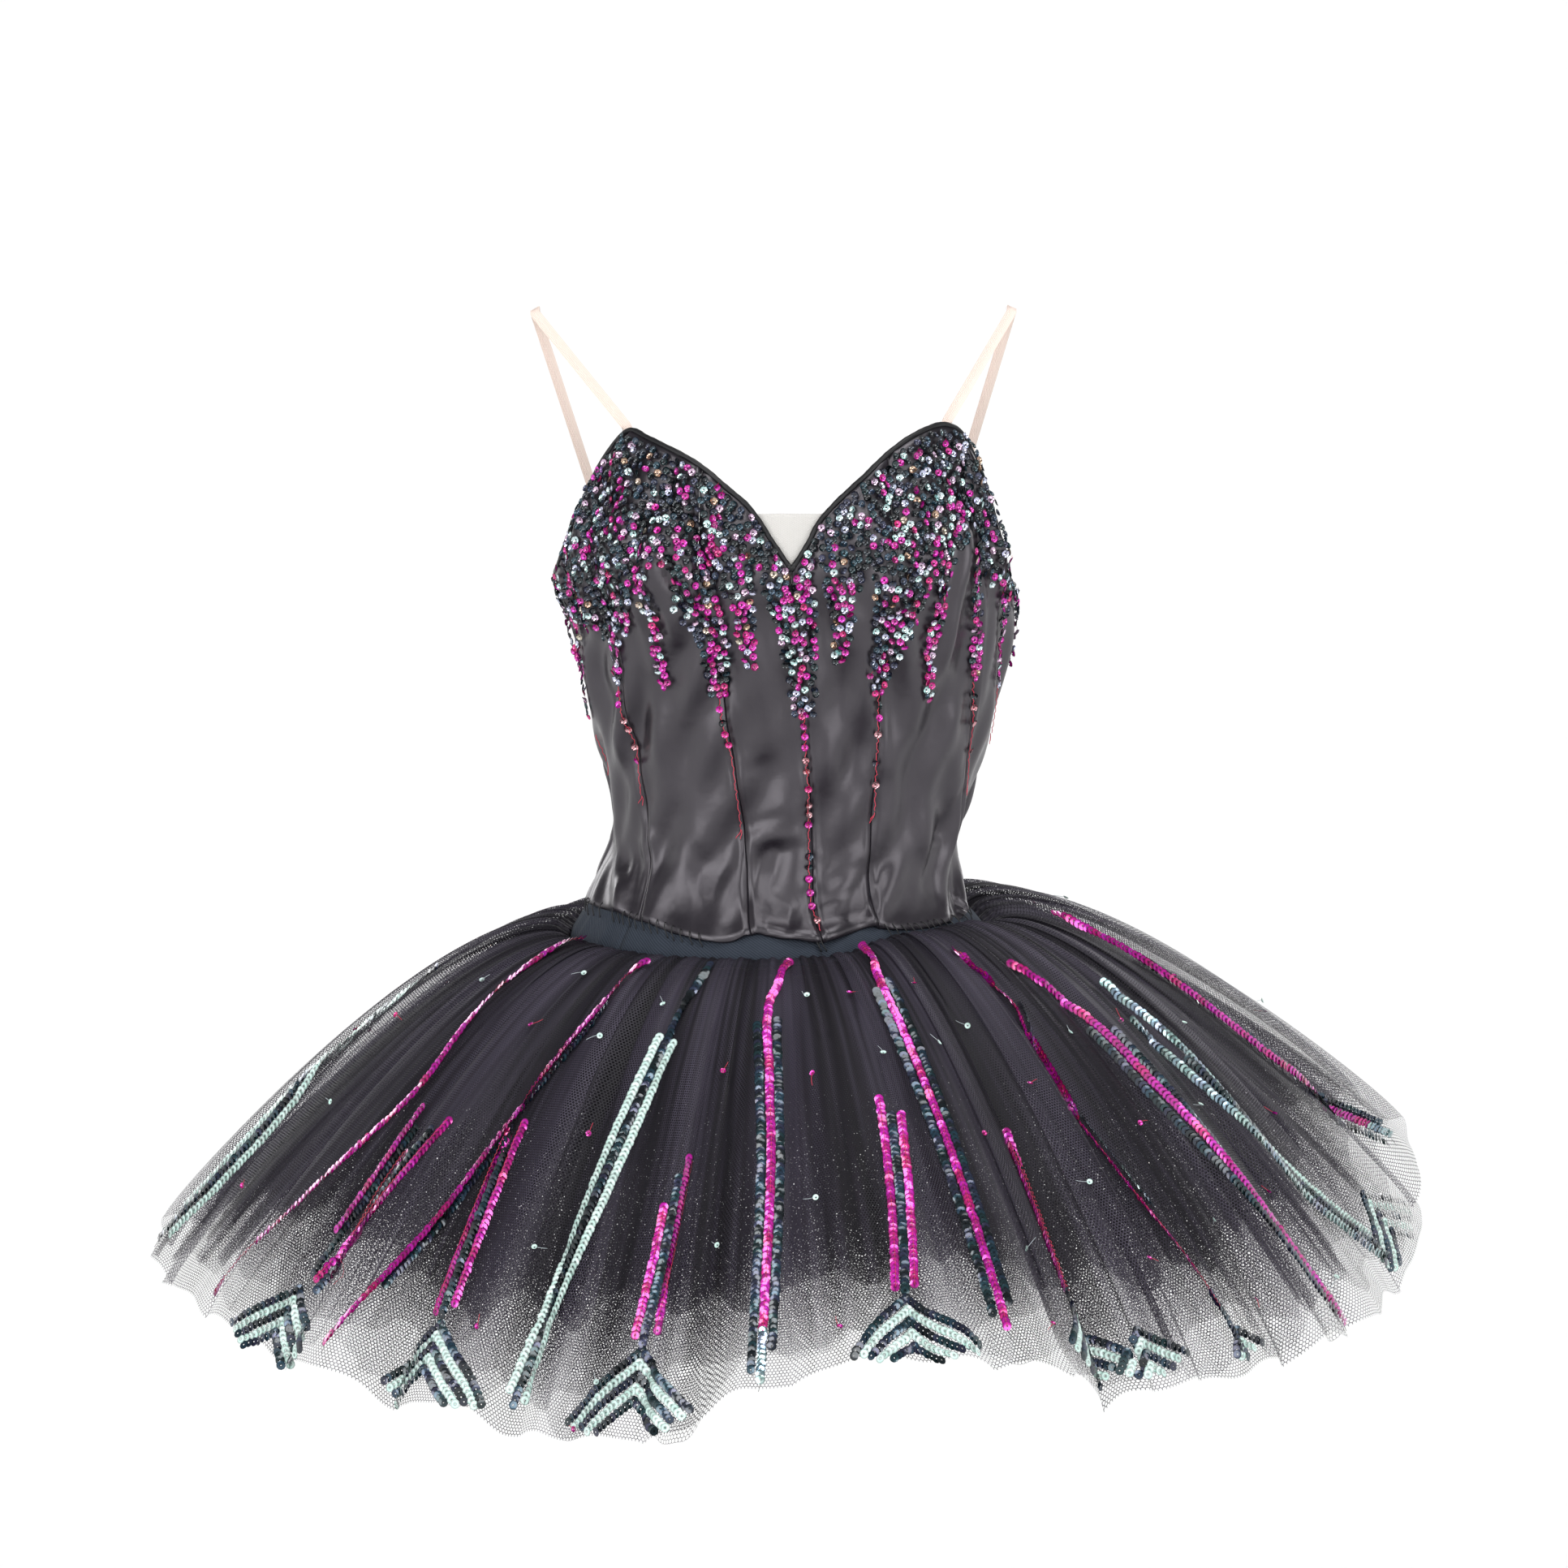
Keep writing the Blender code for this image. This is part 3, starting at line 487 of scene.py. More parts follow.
class Shader:
    """A material's nodes, added one by one."""

    def __init__(self, name):
        self.material = bpy.data.materials.new(name)
        self.material.use_nodes = True
        self.tree = self.material.node_tree
        self.main = self.tree.nodes["Principled BSDF"]

    def add(self, kind, inputs=None, **settings):
        node = self.tree.nodes.new(kind)
        for key, value in settings.items():
            setattr(node, key, value)
        for key, value in (inputs or {}).items():
            self.put(node.inputs[key], value)
        return node

    def put(self, socket, value):
        if isinstance(value, bpy.types.NodeSocket):
            self.tree.links.new(value, socket)
        else:
            socket.default_value = value

    def math(self, operation, first, second=0.0, third=0.0):
        return self.add("ShaderNodeMath", {0: first, 1: second, 2: third}, operation=operation).outputs[0]

    def vector(self, operation, first, second=(0.0, 0.0, 0.0)):
        place = "Scale" if operation == "SCALE" else 1
        node = self.add("ShaderNodeVectorMath", {0: first, place: second}, operation=operation)
        return node.outputs["Value" if operation == "DOT_PRODUCT" else "Vector"]

    def mix(self, share, first, second):
        node = self.add("ShaderNodeMix", data_type="RGBA")
        self.put(node.inputs["Factor"], share)
        self.put(node.inputs["A"], first)
        self.put(node.inputs["B"], second)
        return node.outputs["Result"]

    def noise(self, scale, detail=3.0):
        """Cloudy number from 0 to 1 that stays with the piece."""
        node = self.add("ShaderNodeTexNoise", {"Scale": scale, "Detail": detail, "Roughness": 0.5})
        self.put(node.inputs["Vector"], self.add("ShaderNodeTexCoord").outputs["Object"])
        return node.outputs["Fac"]

    def cloth(self):
        return self.add("ShaderNodeUVMap", uv_map="cloth").outputs["UV"]

    def bump(self, height, distance, strength=1.0, normal=None):
        inputs = {"Height": height, "Distance": distance, "Strength": strength}
        if normal is not None:
            inputs["Normal"] = normal
        return self.add("ShaderNodeBump", inputs).outputs["Normal"]

    def finish(self, **inputs):
        for key, value in inputs.items():
            self.put(self.main.inputs[key.replace("_", " ")], value)
        return self.material


def scaled(colour, much):
    """A colour made darker or lighter, with its alpha."""
    return tuple(much * part for part in colour) + (1.0,)


def threads(shader, pitch, turn):
    """Fine ribs of a weave across the cloth, as a number from 0 to 1."""
    uv = shader.cloth()
    direction = (math.cos(math.radians(turn)) / pitch, math.sin(math.radians(turn)) / pitch, 0.0)
    phase = shader.vector("DOT_PRODUCT", uv, direction)
    wave = shader.math("SINE", shader.math("MULTIPLY", phase, 2 * math.pi))
    return shader.math("MULTIPLY_ADD", wave, 0.5, 0.5)


def satin_material():
    shader = Shader("satin")
    cloudy = shader.noise(14.0, 4.0)
    fine = shader.noise(900.0, 2.0)
    # broad cloudy patches of the base colour: partly random tone, partly painted sheen
    colour = shader.mix(cloudy, *SATIN_TONE_AND_PAINTED_SHEEN)
    rough = shader.math("MULTIPLY_ADD", fine, 0.08, 0.28)
    crumple = shader.noise(38.0, 3.0)
    normal = shader.bump(crumple, 0.0016, 0.5)
    normal = shader.bump(threads(shader, SATIN_THREAD, 90.0), 0.00004, 0.5, normal)
    return shader.finish(
        Base_Color=colour, Roughness=rough, Normal=normal, Specular_IOR_Level=0.85,
        Specular_Tint=(0.98, 0.93, 1.0, 1.0), Anisotropic=0.4)


def twill_material():
    shader = Shader("basque_twill")
    rib = threads(shader, TWILL_RIB, 58.0)
    patch = shader.noise(30.0, 4.0)
    colour = shader.mix(rib, *TWILL_COLOURS)
    colour = shader.mix(shader.math("MULTIPLY", patch, 0.5), colour, TWILL_WEAR)
    normal = shader.bump(rib, 0.0003, 0.7)
    return shader.finish(Base_Color=colour, Roughness=0.85, Normal=normal, Specular_IOR_Level=0.2)


def binding_material():
    shader = Shader("binding_satin")
    fine = shader.noise(700.0, 2.0)
    colour = shader.mix(fine, *BINDING_COLOURS)
    return shader.finish(Base_Color=colour, Roughness=0.42, Normal=shader.bump(fine, 0.0002, 0.5),
                         Specular_IOR_Level=0.35)


def ribbon_material():
    shader = Shader("strap_ribbon")
    rib = threads(shader, RIBBON_RIB, 0.0)
    shade = shader.noise(60.0, 3.0)
    colour = shader.mix(rib, *RIBBON_COLOURS)
    colour = shader.mix(shader.math("MULTIPLY", shade, 0.4), colour, RIBBON_WEAR)
    return shader.finish(Base_Color=colour, Roughness=0.45, Normal=shader.bump(rib, 0.0003, 0.8),
                         Specular_IOR_Level=0.5, Sheen_Weight=0.1)


def insert_material():
    shader = Shader("insert_mesh")
    first = threads(shader, INSERT_THREAD, 62.0)
    second = threads(shader, INSERT_THREAD, -62.0)
    weave = shader.math("MULTIPLY", first, second)
    colour = shader.mix(weave, *INSERT_COLOURS)
    return shader.finish(Base_Color=colour, Roughness=0.6, Normal=shader.bump(weave, 0.0002, 0.6),
                         Alpha=0.93)


def hex_threads(shader, uv, pitch, half_thread):
    """1 on the threads of a net of hexagons, and 0 in its holes."""
    in_cells = shader.vector("SCALE", uv, 1.0 / pitch)
    tall = math.sqrt(3.0)

    def cell(shift):
        moved = shader.vector("ADD", in_cells, shift)
        part = shader.vector("FRACTION", shader.vector("DIVIDE", moved, (1.0, tall, 1.0)))
        return shader.vector("MULTIPLY", shader.vector("SUBTRACT", part, (0.5, 0.5, 0.5)), (1.0, tall, 0.0))

    first, second = cell((0.0, 0.0, 0.0)), cell((0.5, tall / 2, 0.0))
    distances = []
    for offset in (first, second):
        spread = shader.vector("ABSOLUTE", offset)
        slant = shader.vector("DOT_PRODUCT", spread, (0.5, tall / 2, 0.0))
        level = shader.vector("DOT_PRODUCT", spread, (1.0, 0.0, 0.0))
        distances.append(shader.math("MAXIMUM", slant, level))
    edge = shader.math("MINIMUM", *distances)
    limit = shader.math("SUBTRACT", 0.5, half_thread)
    return shader.math("GREATER_THAN", edge, limit)


def net_material(name, plies, half_thread, tone):
    """Black net: hexagons of thread, with as many plies one on another as are gathered together, and painted
    light and shade from its shade number.
    """
    shader = Shader(name)
    uv = shader.cloth()
    dense = shader.add("ShaderNodeAttribute", attribute_name="gather").outputs["Fac"]
    half = shader.math("MULTIPLY", dense, half_thread)
    cover = None
    for ply in range(plies):
        mapping = shader.add("ShaderNodeMapping", {
            "Vector": uv, "Location": (PLY_SHIFT[0] * ply, PLY_SHIFT[1] * ply, 0.0),
            "Rotation": (0.0, 0.0, math.radians(PLY_TURN * ply))})
        layer = hex_threads(shader, mapping.outputs["Vector"], NET_PITCH, half)
        cover = layer if cover is None else shader.math("MAXIMUM", cover, layer)
    cloudy = shader.noise(25.0, 2.0)
    light = shader.add("ShaderNodeAttribute", attribute_name="shade").outputs["Fac"]
    # painted light and shade: the net's colour goes from darker in valleys to lighter on ridges by the shade
    # number
    colour = shader.mix(light, scaled(tone, NET_VALLEY_PAINTED_SHADE), scaled(tone, NET_RIDGE_PAINTED_HIGHLIGHT))
    colour = shader.mix(shader.math("MULTIPLY", cloudy, 0.5), colour, scaled(tone, 0.6))
    return shader.finish(Base_Color=colour, Roughness=0.55, Specular_IOR_Level=0.25, Alpha=cover)


def sequin_material(name, roughness, metallic, coat):
    """Shiny film whose colour is kept on each sequin, with painted shade and highlight in rings, a little
    changed across it.
    """
    shader = Shader(name)
    own = shader.add("ShaderNodeAttribute", attribute_name="film").outputs["Color"]
    patchy = shader.noise(420.0, 2.0)
    darker = shader.mix(patchy, own, shader.vector("MULTIPLY", own, (0.45, 0.85, 0.75)))
    dent = shader.noise(900.0, 1.0)
    return shader.finish(Base_Color=darker, Roughness=roughness, Metallic=metallic, Coat_Weight=coat,
                         Coat_Roughness=0.10, Coat_IOR=1.7, Normal=shader.bump(dent, 0.0002, 0.35))


def thread_material(name, colour):
    shader = Shader(name)
    fluff = shader.noise(1500.0, 2.0)
    mixed = shader.mix(fluff, scaled(colour, 0.6), scaled(colour, 1.0))
    return shader.finish(Base_Color=mixed, Roughness=0.7, Normal=shader.bump(fluff, 0.0002, 0.6))


def steel_material():
    shader = Shader("hook_steel")
    fine = shader.noise(600.0, 2.0)
    rough = shader.math("MULTIPLY_ADD", fine, 0.15, 0.25)
    return shader.finish(Base_Color=STEEL_COLOUR, Metallic=0.9, Roughness=rough,
                         Normal=shader.bump(fine, 0.0001, 0.4))


# ---------------------------------------------------------------- satin bodice

# soft folds of the satin: angle and height of both ends, half width, height (a hollow is negative)
FOLDS = [
    (-24.6, 0.222, -16.8, 0.158, 0.0045, -0.0050), (-32.4, 0.196, -25.6, 0.156, 0.0040, -0.0045),
    (-38.2, 0.238, -22.0, 0.204, 0.0040, -0.0030), (-28.5, 0.205, -21.0, 0.158, 0.0060, 0.0030),
    (-36.5, 0.200, -30.5, 0.140, 0.0060, 0.0026), (-42.5, 0.180, -40.0, 0.120, 0.0050, 0.0022),
    (-12.8, 0.170, -13.5, 0.125, 0.0050, 0.0022), (-67.1, 0.105, -62.0, 0.085, 0.0110, -0.0022),
    (-47.0, 0.110, -47.0, 0.060, 0.0090, -0.0024), (-57.5, 0.090, -60.5, 0.045, 0.0070, 0.0022),
    (-29.0, 0.115, -26.0, 0.040, 0.0110, 0.0020), (-11.7, 0.066, -9.0, 0.055, 0.0080, -0.0022),
    (-65.2, -0.004, -60.0, -0.014, 0.0045, -0.0026), (-58.0, 0.002, -52.1, -0.017, 0.0040, -0.0028),
    (-62.0, -0.018, -57.0, -0.032, 0.0040, 0.0022), (-49.5, 0.010, -46.0, -0.026, 0.0045, 0.0024),
    (-30.0, 0.004, -21.0, -0.027, 0.0060, -0.0022), (-38.0, 0.015, -33.0, -0.022, 0.0070, 0.0020),
    (-14.0, 0.020, -3.0, 0.030, 0.0035, -0.0015), (-10.0, 0.014, 2.0, 0.018, 0.0032, 0.0014),
    (-8.0, 0.004, 5.0, 0.009, 0.0035, -0.0012), (-4.0, -0.020, 7.0, -0.028, 0.0045, -0.0018),
    (-2.0, -0.034, 6.0, -0.036, 0.0035, -0.0018), (13.0, -0.026, 24.0, -0.018, 0.0040, -0.0016),
    (15.0, -0.006, 24.0, 0.004, 0.0045, 0.0015), (55.5, -0.016, 62.0, -0.028, 0.0055, -0.0030),
    (48.0, 0.045, 52.0, 0.024, 0.0080, -0.0026), (38.0, 0.020, 47.0, -0.028, 0.0090, 0.0020),
    (52.0, 0.215, 41.0, 0.105, 0.0060, 0.0036), (47.0, 0.196, 40.5, 0.120, 0.0045, -0.0034),
    (58.0, 0.185, 50.0, 0.095, 0.0060, -0.0022), (38.0, 0.130, 30.0, 0.060, 0.0080, 0.0026),
    (34.0, 0.120, 27.0, 0.050, 0.0060, -0.0022), (44.5, 0.110, 38.0, 0.045, 0.0080, -0.0020),
    (17.0, 0.160, 13.0, 0.070, 0.0060, -0.0016), (20.0, 0.150, 22.0, 0.080, 0.0060, 0.0018),
    (59.5, 0.250, 53.9, 0.205, 0.0045, -0.0038), (37.0, 0.235, 41.0, 0.200, 0.0050, -0.0018),
    (66.0, 0.050, 60.0, 0.020, 0.0060, 0.0018), (-75.0, 0.010, -68.0, -0.020, 0.0050, 0.0020),
    (100.0, 0.080, 118.0, 0.020, 0.0100, -0.0020), (-104.0, 0.090, -120.0, 0.030, 0.0100, -0.0020),
    (130.0, 0.060, 150.0, 0.000, 0.0090, 0.0018), (-135.0, 0.050, -152.0, -0.005, 0.0090, 0.0018),
    (160.0, 0.110, 168.0, 0.060, 0.0080, -0.0015), (-158.0, 0.100, -168.0, 0.050, 0.0080, -0.0015),
    (110.0, -0.010, 130.0, -0.022, 0.0050, 0.0018), (-112.0, -0.008, -128.0, -0.022, 0.0050, 0.0018),
    (85.0, 0.020, 100.0, 0.000, 0.0060, -0.0018), (-88.0, 0.018, -100.0, 0.002, 0.0060, -0.0018),
]
RIPPLE_COUNT = 16
RIPPLE_HEIGHT = 0.00053
RIPPLE_LENGTHS = (0.018, 0.050)
HEM_HOLLOW = -0.0016       # the satin sinks no further near the hem, where the basque lies behind it
HEM_HOLLOW_TOP = 0.006
EDGE_FADE = 0.010          # folds flatten out over this length below the binding
SEAM_PINCH = 0.0010        # depth and width of the groove at each seam
SEAM_PINCH_WIDTH = 0.0020
SEAM_PUFF = 0.0005         # height, place and width of the swelling beside it
SEAM_PUFF_PLACE = 0.0045
SEAM_PUFF_WIDTH = 0.0025
BACK_EDGE = 179.0          # beyond this angle an edge is open and has no groove
LOOSE_HEM = (-7.0, 34.0)   # between these angles the hem is a loose rolled lip
LOOSE_HEM_ENDS = 3.0
LIP_HEIGHT = 0.0026        # height of the lip, its place above the hem and its width
LIP_PLACE = 0.003
LIP_WIDTH = 0.004
HEM_TUCK = 0.0012          # how far the hem itself turns in, and over what height
HEM_TUCK_WIDTH = 0.0018


def girth(height):
    """Rough radius of the bodice at a height, to turn degrees into metres."""
    rows = np.asarray(BODY, float)
    return np.interp(height, rows[:, 0], (rows[:, 1] + rows[:, 3]) / 2)


def satin_relief(angle, height):
    """How far soft folds and ripples lift the satin."""
    radius = girth(height)
    lift = np.zeros_like(height)
    for a0, h0, a1, h1, width, rise in FOLDS:
        scale = np.radians(1.0) * radius
        du, dv = (a1 - a0) * scale, h1 - h0
        pu, pv = (angle - a0) * scale, height - h0
        length = np.sqrt(du * du + dv * dv)
        share = np.clip((pu * du + pv * dv) / length ** 2, 0.0, 1.0)
        gap = np.hypot(pu - share * du, pv - share * dv)
        taper = 0.35 + 0.65 * np.sin(np.pi * (0.1 + 0.8 * share))
        lift += rise * np.exp(-(gap / width) ** 2) * taper
    dice = np.random.default_rng(11)
    for _ in range(RIPPLE_COUNT):
        turn = dice.uniform(-0.9, 0.9)
        wave = dice.uniform(*RIPPLE_LENGTHS)
        phase = dice.uniform(0.0, 2 * np.pi)
        along = np.radians(angle) * radius * math.cos(turn) + height * math.sin(turn) * 0.6
        lift += RIPPLE_HEIGHT * np.sin(2 * np.pi * along / wave + phase + 5.0 * height)
    return np.where(height < HEM_HOLLOW_TOP, np.maximum(lift, HEM_HOLLOW), lift)


def panel_place(panel, u, v):
    """Angle and height on a panel: u runs from its start seam to its end seam, v from the hem to the top."""
    top_angle, top_height = read_edge(panel.edge, panel.start_row + (panel.end_row - panel.start_row) * u)
    start, end = panel.start, panel.end
    hem_angle = start[0][1] + (end[0][1] - start[0][1]) * u
    height = read_table(HEM_EDGE, hem_angle)[..., 1] * (1 - v) + top_height * v

    def bow(seam):
        hem = float(read_table(HEM_EDGE, seam[0][1])[1])
        level = hem * (1 - v) + seam[-1][0] * v
        return read_table(seam, level)[..., 1] - (seam[0][1] + (seam[-1][1] - seam[0][1]) * v)

    angle = hem_angle * (1 - v) + top_angle * v + bow(start) * (1 - u) + bow(end) * u
    return angle, height


def seam_relief(across):
    """A groove at each seam and a swelling beside it, at distances from the seam."""
    groove = -SEAM_PINCH * np.exp(-(across / SEAM_PINCH_WIDTH) ** 2)
    return groove, SEAM_PUFF * np.exp(-((across - SEAM_PUFF_PLACE) / SEAM_PUFF_WIDTH) ** 2)


def hem_relief(angle, up_from_hem):
    """A loose wavy lip along part of the hem, and the hem's turned edge."""
    low, high = LOOSE_HEM
    inside = np.clip((angle - low) / LOOSE_HEM_ENDS, 0.0, 1.0)
    inside = inside * np.clip((high - angle) / LOOSE_HEM_ENDS, 0.0, 1.0)
    wavy = 1.0 + 0.35 * np.sin(np.radians(angle) * 22.0 + 1.0)
    lip = inside * LIP_HEIGHT * wavy * np.exp(-((up_from_hem - LIP_PLACE) / LIP_WIDTH) ** 2)
    return lip, -HEM_TUCK * np.exp(-(up_from_hem / HEM_TUCK_WIDTH) ** 2)


def add_bodice(satin):
    """The eight satin panels, each a wall of cloth with its folds and seams."""
    for panel in PANELS:
        u, v = even_grid(panel.columns, PANEL_ROWS)
        u = u - SEAM_CROWDING * np.sin(2 * np.pi * u) / (2 * np.pi)
        if panel.edge is TOP_EDGE_RIGHT:
            u = u[::-1]
        angle, height = panel_place(panel, u, v)
        groove, puff = seam_relief(np.minimum(u, 1.0 - u) * panel.flat[0])
        pinch = np.where(np.abs(angle) > BACK_EDGE, 0.0, groove)
        lip, tuck = hem_relief(angle, v * (height[:, -1:] - height[:, :1]))
        fade = np.clip((height[:, -1:] - height) / EDGE_FADE, 0.0, 1.0)
        lift = satin_relief(angle, height) * fade + pinch + puff + lip + tuck
        normal = body_normal(angle, height)
        gap = SEAM_GAP / 2 * (1 - 2 * u) * (1.0 if panel.edge is TOP_EDGE_LEFT else -1.0)
        angle = angle + np.degrees(gap / girth(height))
        outer = body_point(angle, height) + normal * lift[..., None]
        inner = outer - normal * SATIN_WALL
        uv = np.stack([np.radians(angle) * girth(height), height], -1)
        piece = add_shell("satin_" + panel.name, outer, inner, satin, uv)
        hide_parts("bodice_" + panel.name)


def add_bindings(cloth):
    """Rounded bias binding on the top edge of each side."""
    for name, edge in (("right", TOP_EDGE_RIGHT), ("left", TOP_EDGE_LEFT)):
        side = 1.0 if name == "left" else -1.0
        station = np.linspace(0.0, len(edge) - 1.0, 400)
        angle, height = read_edge(edge, station)
        normal = body_normal(angle, height)
        path = body_point(angle, height) - normal * SATIN_WALL / 2
        along = unit(np.gradient(path, axis=0))
        above = unit(np.cross(along, normal) * -side)
        path = path + above * BINDING_RADIUS * BINDING_RISE
        from_seam = path[0, 0] - body_point(*edge[0])[0]
        path[0] += along[0] * (side * BINDING_END - from_seam) / along[0, 0]
        wobble = 1.0 + 0.05 * np.sin(station * 9.0) + 0.03 * np.sin(station * 23.0)
        radii = BINDING_RADIUS * wobble, BINDING_RADIUS * 1.05
        piece = add_tubes("binding_" + name, [(path, normal, radii)], 12, cloth)
        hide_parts("neckline_binding_" + name)


def edge_station(edge, angle):
    """Station of an edge near the V where it passes an angle."""
    stations = np.linspace(0.0, 4.0, 400)
    angles, _ = read_edge(edge, stations)
    gaps = np.abs(angles - edge[0][0])
    return np.interp(np.abs(angle - edge[0][0]), gaps, stations)


def add_insert(mesh_cloth):
    u, v = even_grid(36, 20)
    angle = INSERT_START + (INSERT_END - INSERT_START) * u
    right = read_edge(TOP_EDGE_RIGHT, edge_station(TOP_EDGE_RIGHT, angle))[1]
    left = read_edge(TOP_EDGE_LEFT, edge_station(TOP_EDGE_LEFT, angle))[1]
    bottom = np.where(angle > TOP_EDGE_LEFT[0][0], left, right) - INSERT_TUCK
    height = bottom + (INSERT_TOP - bottom) * v
    inset = SATIN_WALL + INSERT_GAP + 0.0003 * np.sin(9.0 * u + 4.0 * v)
    outer, inner = body_point(angle, height, inset), body_point(angle, height, inset + INSERT_WALL)
    uv = np.stack([np.radians(angle) * FRONT_RADIUS, height], -1)
    piece = add_shell("insert_panel", outer, inner, mesh_cloth, uv)
    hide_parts("neck_insert")


def add_placket(satin):
    u, v = even_grid(16, 60)
    angle, height = PLACKET_START + PLACKET_TURN * u, PLACKET_BOTTOM + PLACKET_HEIGHT * v
    outer = body_point(angle, height, SATIN_WALL + PLACKET_GAP)
    inner = body_point(angle, height, SATIN_WALL + PLACKET_GAP + PLACKET_WALL)
    uv = np.stack([np.radians(angle) * BACK_RADIUS, height], -1)
    piece = add_shell("placket", outer, inner, satin, uv)
    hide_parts("back_placket")


def add_basque(twill):
    for part in BASQUE_PIECES:
        u, v = even_grid(part.columns, 36)
        angle, height = part.start + (part.end - part.start) * u, BASQUE_BOTTOM + BASQUE_HEIGHT * v
        angle = angle + np.degrees(SEAM_GAP / 2 * (1 - 2 * u) / BASQUE_RADIUS)
        across = np.minimum(u, 1.0 - u) * part.flat[0]
        dent = 0.0006 * np.exp(-(across / 0.0016) ** 2)
        around = np.radians(angle)
        ripple = 0.0005 * np.sin(around * 31.0 + 60.0 * height) + 0.0004 * np.sin(around * 47.0)
        low = np.clip((BASQUE_FLAT - height) / 0.01, 0.0, 1.0)
        outset = ripple * low - dent
        outer, inner = basque_point(angle, height, outset), basque_point(angle, height, outset - BASQUE_WALL)
        uv = np.stack([around * BASQUE_RADIUS, height], -1)
        piece = add_shell("twill_" + part.name, outer, inner, twill, uv)
        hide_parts(part.name)


# ---------------------------------------------------------------- straps

StrapEnd = namedtuple("StrapEnd", "sewn_angle sewn_height edge_angle edge_height")
Strap = namedtuple("Strap", "name front back tip")
STRAPS = [
    Strap("strap_right", StrapEnd(-51.5, 0.247, -56.6, 0.2615), StrapEnd(-128.0, 0.146, -129.5, 0.163),
          (-0.1520, 0.004, 0.3280)),
    Strap("strap_left", StrapEnd(54.5, 0.250, 60.0, 0.2640), StrapEnd(136.0, 0.142, 137.5, 0.159),
          (0.1380, 0.004, 0.3290)),
]
STRAP_WIDTH = 0.006
STRAP_WALL = 0.0007
STRAP_RIBS = 6
STRAP_STATIONS = 60        # along each half
STRAP_STEPS = 25           # across each face
STRAP_FOLD = (0.0014, 0.0026)   # from the tip to each half's end: back or front, down
STRAP_BOW = 0.0006


def add_strap(strap, ribbon):
    """Ribbon that rises from the front, folds over at its tip and runs down to the back."""
    ends = []
    for end in (strap.front, strap.back):
        sewn = body_point(end.sewn_angle, end.sewn_height, SATIN_WALL + 0.0014)
        edge = body_point(end.edge_angle, end.edge_height, SATIN_WALL + 0.0036)
        ends.append((sewn, edge))
    (front_sewn, front), (back_sewn, back) = ends
    tip = np.array(strap.tip)
    aside, below = STRAP_FOLD
    front_top, back_top = tip + (0.0, -aside, -below), tip + (0.0, aside, -below)
    share = np.linspace(0.0, 1.0, STRAP_STATIONS)[:, None]
    bow = np.sin(np.pi * share) * np.array([[0.0, -STRAP_BOW, 0.0]])
    rising = front + (front_top - front) * share + bow
    falling = back_top + (back - back_top) * share - bow
    path = np.concatenate([front_sewn[None], rising, tip[None], falling, back_sewn[None]])
    along = unit(np.gradient(path, axis=0))
    depth = np.array([0.0, 1.0, 0.0])
    front_width = unit(np.cross(front_top - front, depth))
    back_width = unit(np.cross(back_top - back, depth))
    turn = np.clip((np.arange(len(path)) - STRAP_STATIONS + 1) / 4.0, 0.0, 1.0)[:, None]
    width = front_width * (1 - turn) + back_width * turn
    width = square_to(along, width)
    face = np.cross(along, width)
    profile = []
    for k in range(STRAP_STEPS):
        across = k / (STRAP_STEPS - 1) - 0.5
        rib = 0.00016 * math.cos(2 * math.pi * STRAP_RIBS * across) + 0.00006
        profile.append((across * STRAP_WIDTH, STRAP_WALL / 2 + rib))
    profile += [(across, -high) for across, high in reversed(profile)]
    points = np.stack([path + width * across + face * high for across, high in profile], 1)
    i = np.arange(len(path) - 1)[:, None]
    k = np.arange(len(profile))[None, :]
    a, b = i * len(profile) + k, i * len(profile) + (k + 1) % len(profile)
    quads = np.stack([a, a + len(profile), b + len(profile), b], -1).reshape(-1, 4)
    last = (len(path) - 1) * len(profile)
    first_cap = np.arange(len(profile))[None]
    last_cap = last + np.arange(len(profile))[::-1][None]
    piece = new_object("ribbon_" + strap.name, points.reshape(-1, 3), [quads, first_cap, last_cap], ribbon)
    across = np.array([place[0] for place in profile])
    uv = np.stack(np.broadcast_arrays(across[None, :], lengths_along(path)[:, None]), -1)
    set_uv(piece, uv)
    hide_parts(strap.name)


# ---------------------------------------------------------------- gathered net

# width and reach: of the cut, in metres; half_thread: as a share of a hexagon; thin: how far the net
# thins out from thin_from (a share of its reach) to its hem
NetLayer = namedtuple("NetLayer", "name node width reach columns rows seed folds "
                                  "plies half_thread thin thin_from tone")
NET_LAYERS = [
    NetLayer("net_top", "net_overlay", 2.45, 0.340, 1150, 48, 21, 64,
             1, 0.108, 0.28, 0.80, (0.0242, 0.0210, 0.0306)),
    NetLayer("net_under", "net_second", 2.35, 0.318, 1000, 36, 22, 60,
             1, 0.090, 0.46, 0.78, (0.0218, 0.0190, 0.0272)),
    NetLayer("net_inner", "net_third", 2.20, 0.295, 860, 30, 23, 50,
             3, 0.145, 0.88, 0.70, (0.0180, 0.0156, 0.0215)),
    NetLayer("net_lowest", "net_fourth", 1.90, 0.240, 760, 24, 24, 40,
             3, 0.150, 0.70, 0.86, (0.0140, 0.0134, 0.0172)),
]
BACK_LAP = 0.7             # degrees that each edge laps past the middle of the back
LAP_LIFT = 0.0008          # how far one edge rises and the other sinks there
LAP_DEGREES = 8.0          # over this many degrees
INNER_DROP = 0.0075        # how far the inner layers fall away below the overlay's puff
HEM_DROP = (12.5, 8.5, 0.010)   # the overlay hangs lower here: angle, degrees wide, metres
PLEATS = 27                # broad pleats round the skirt
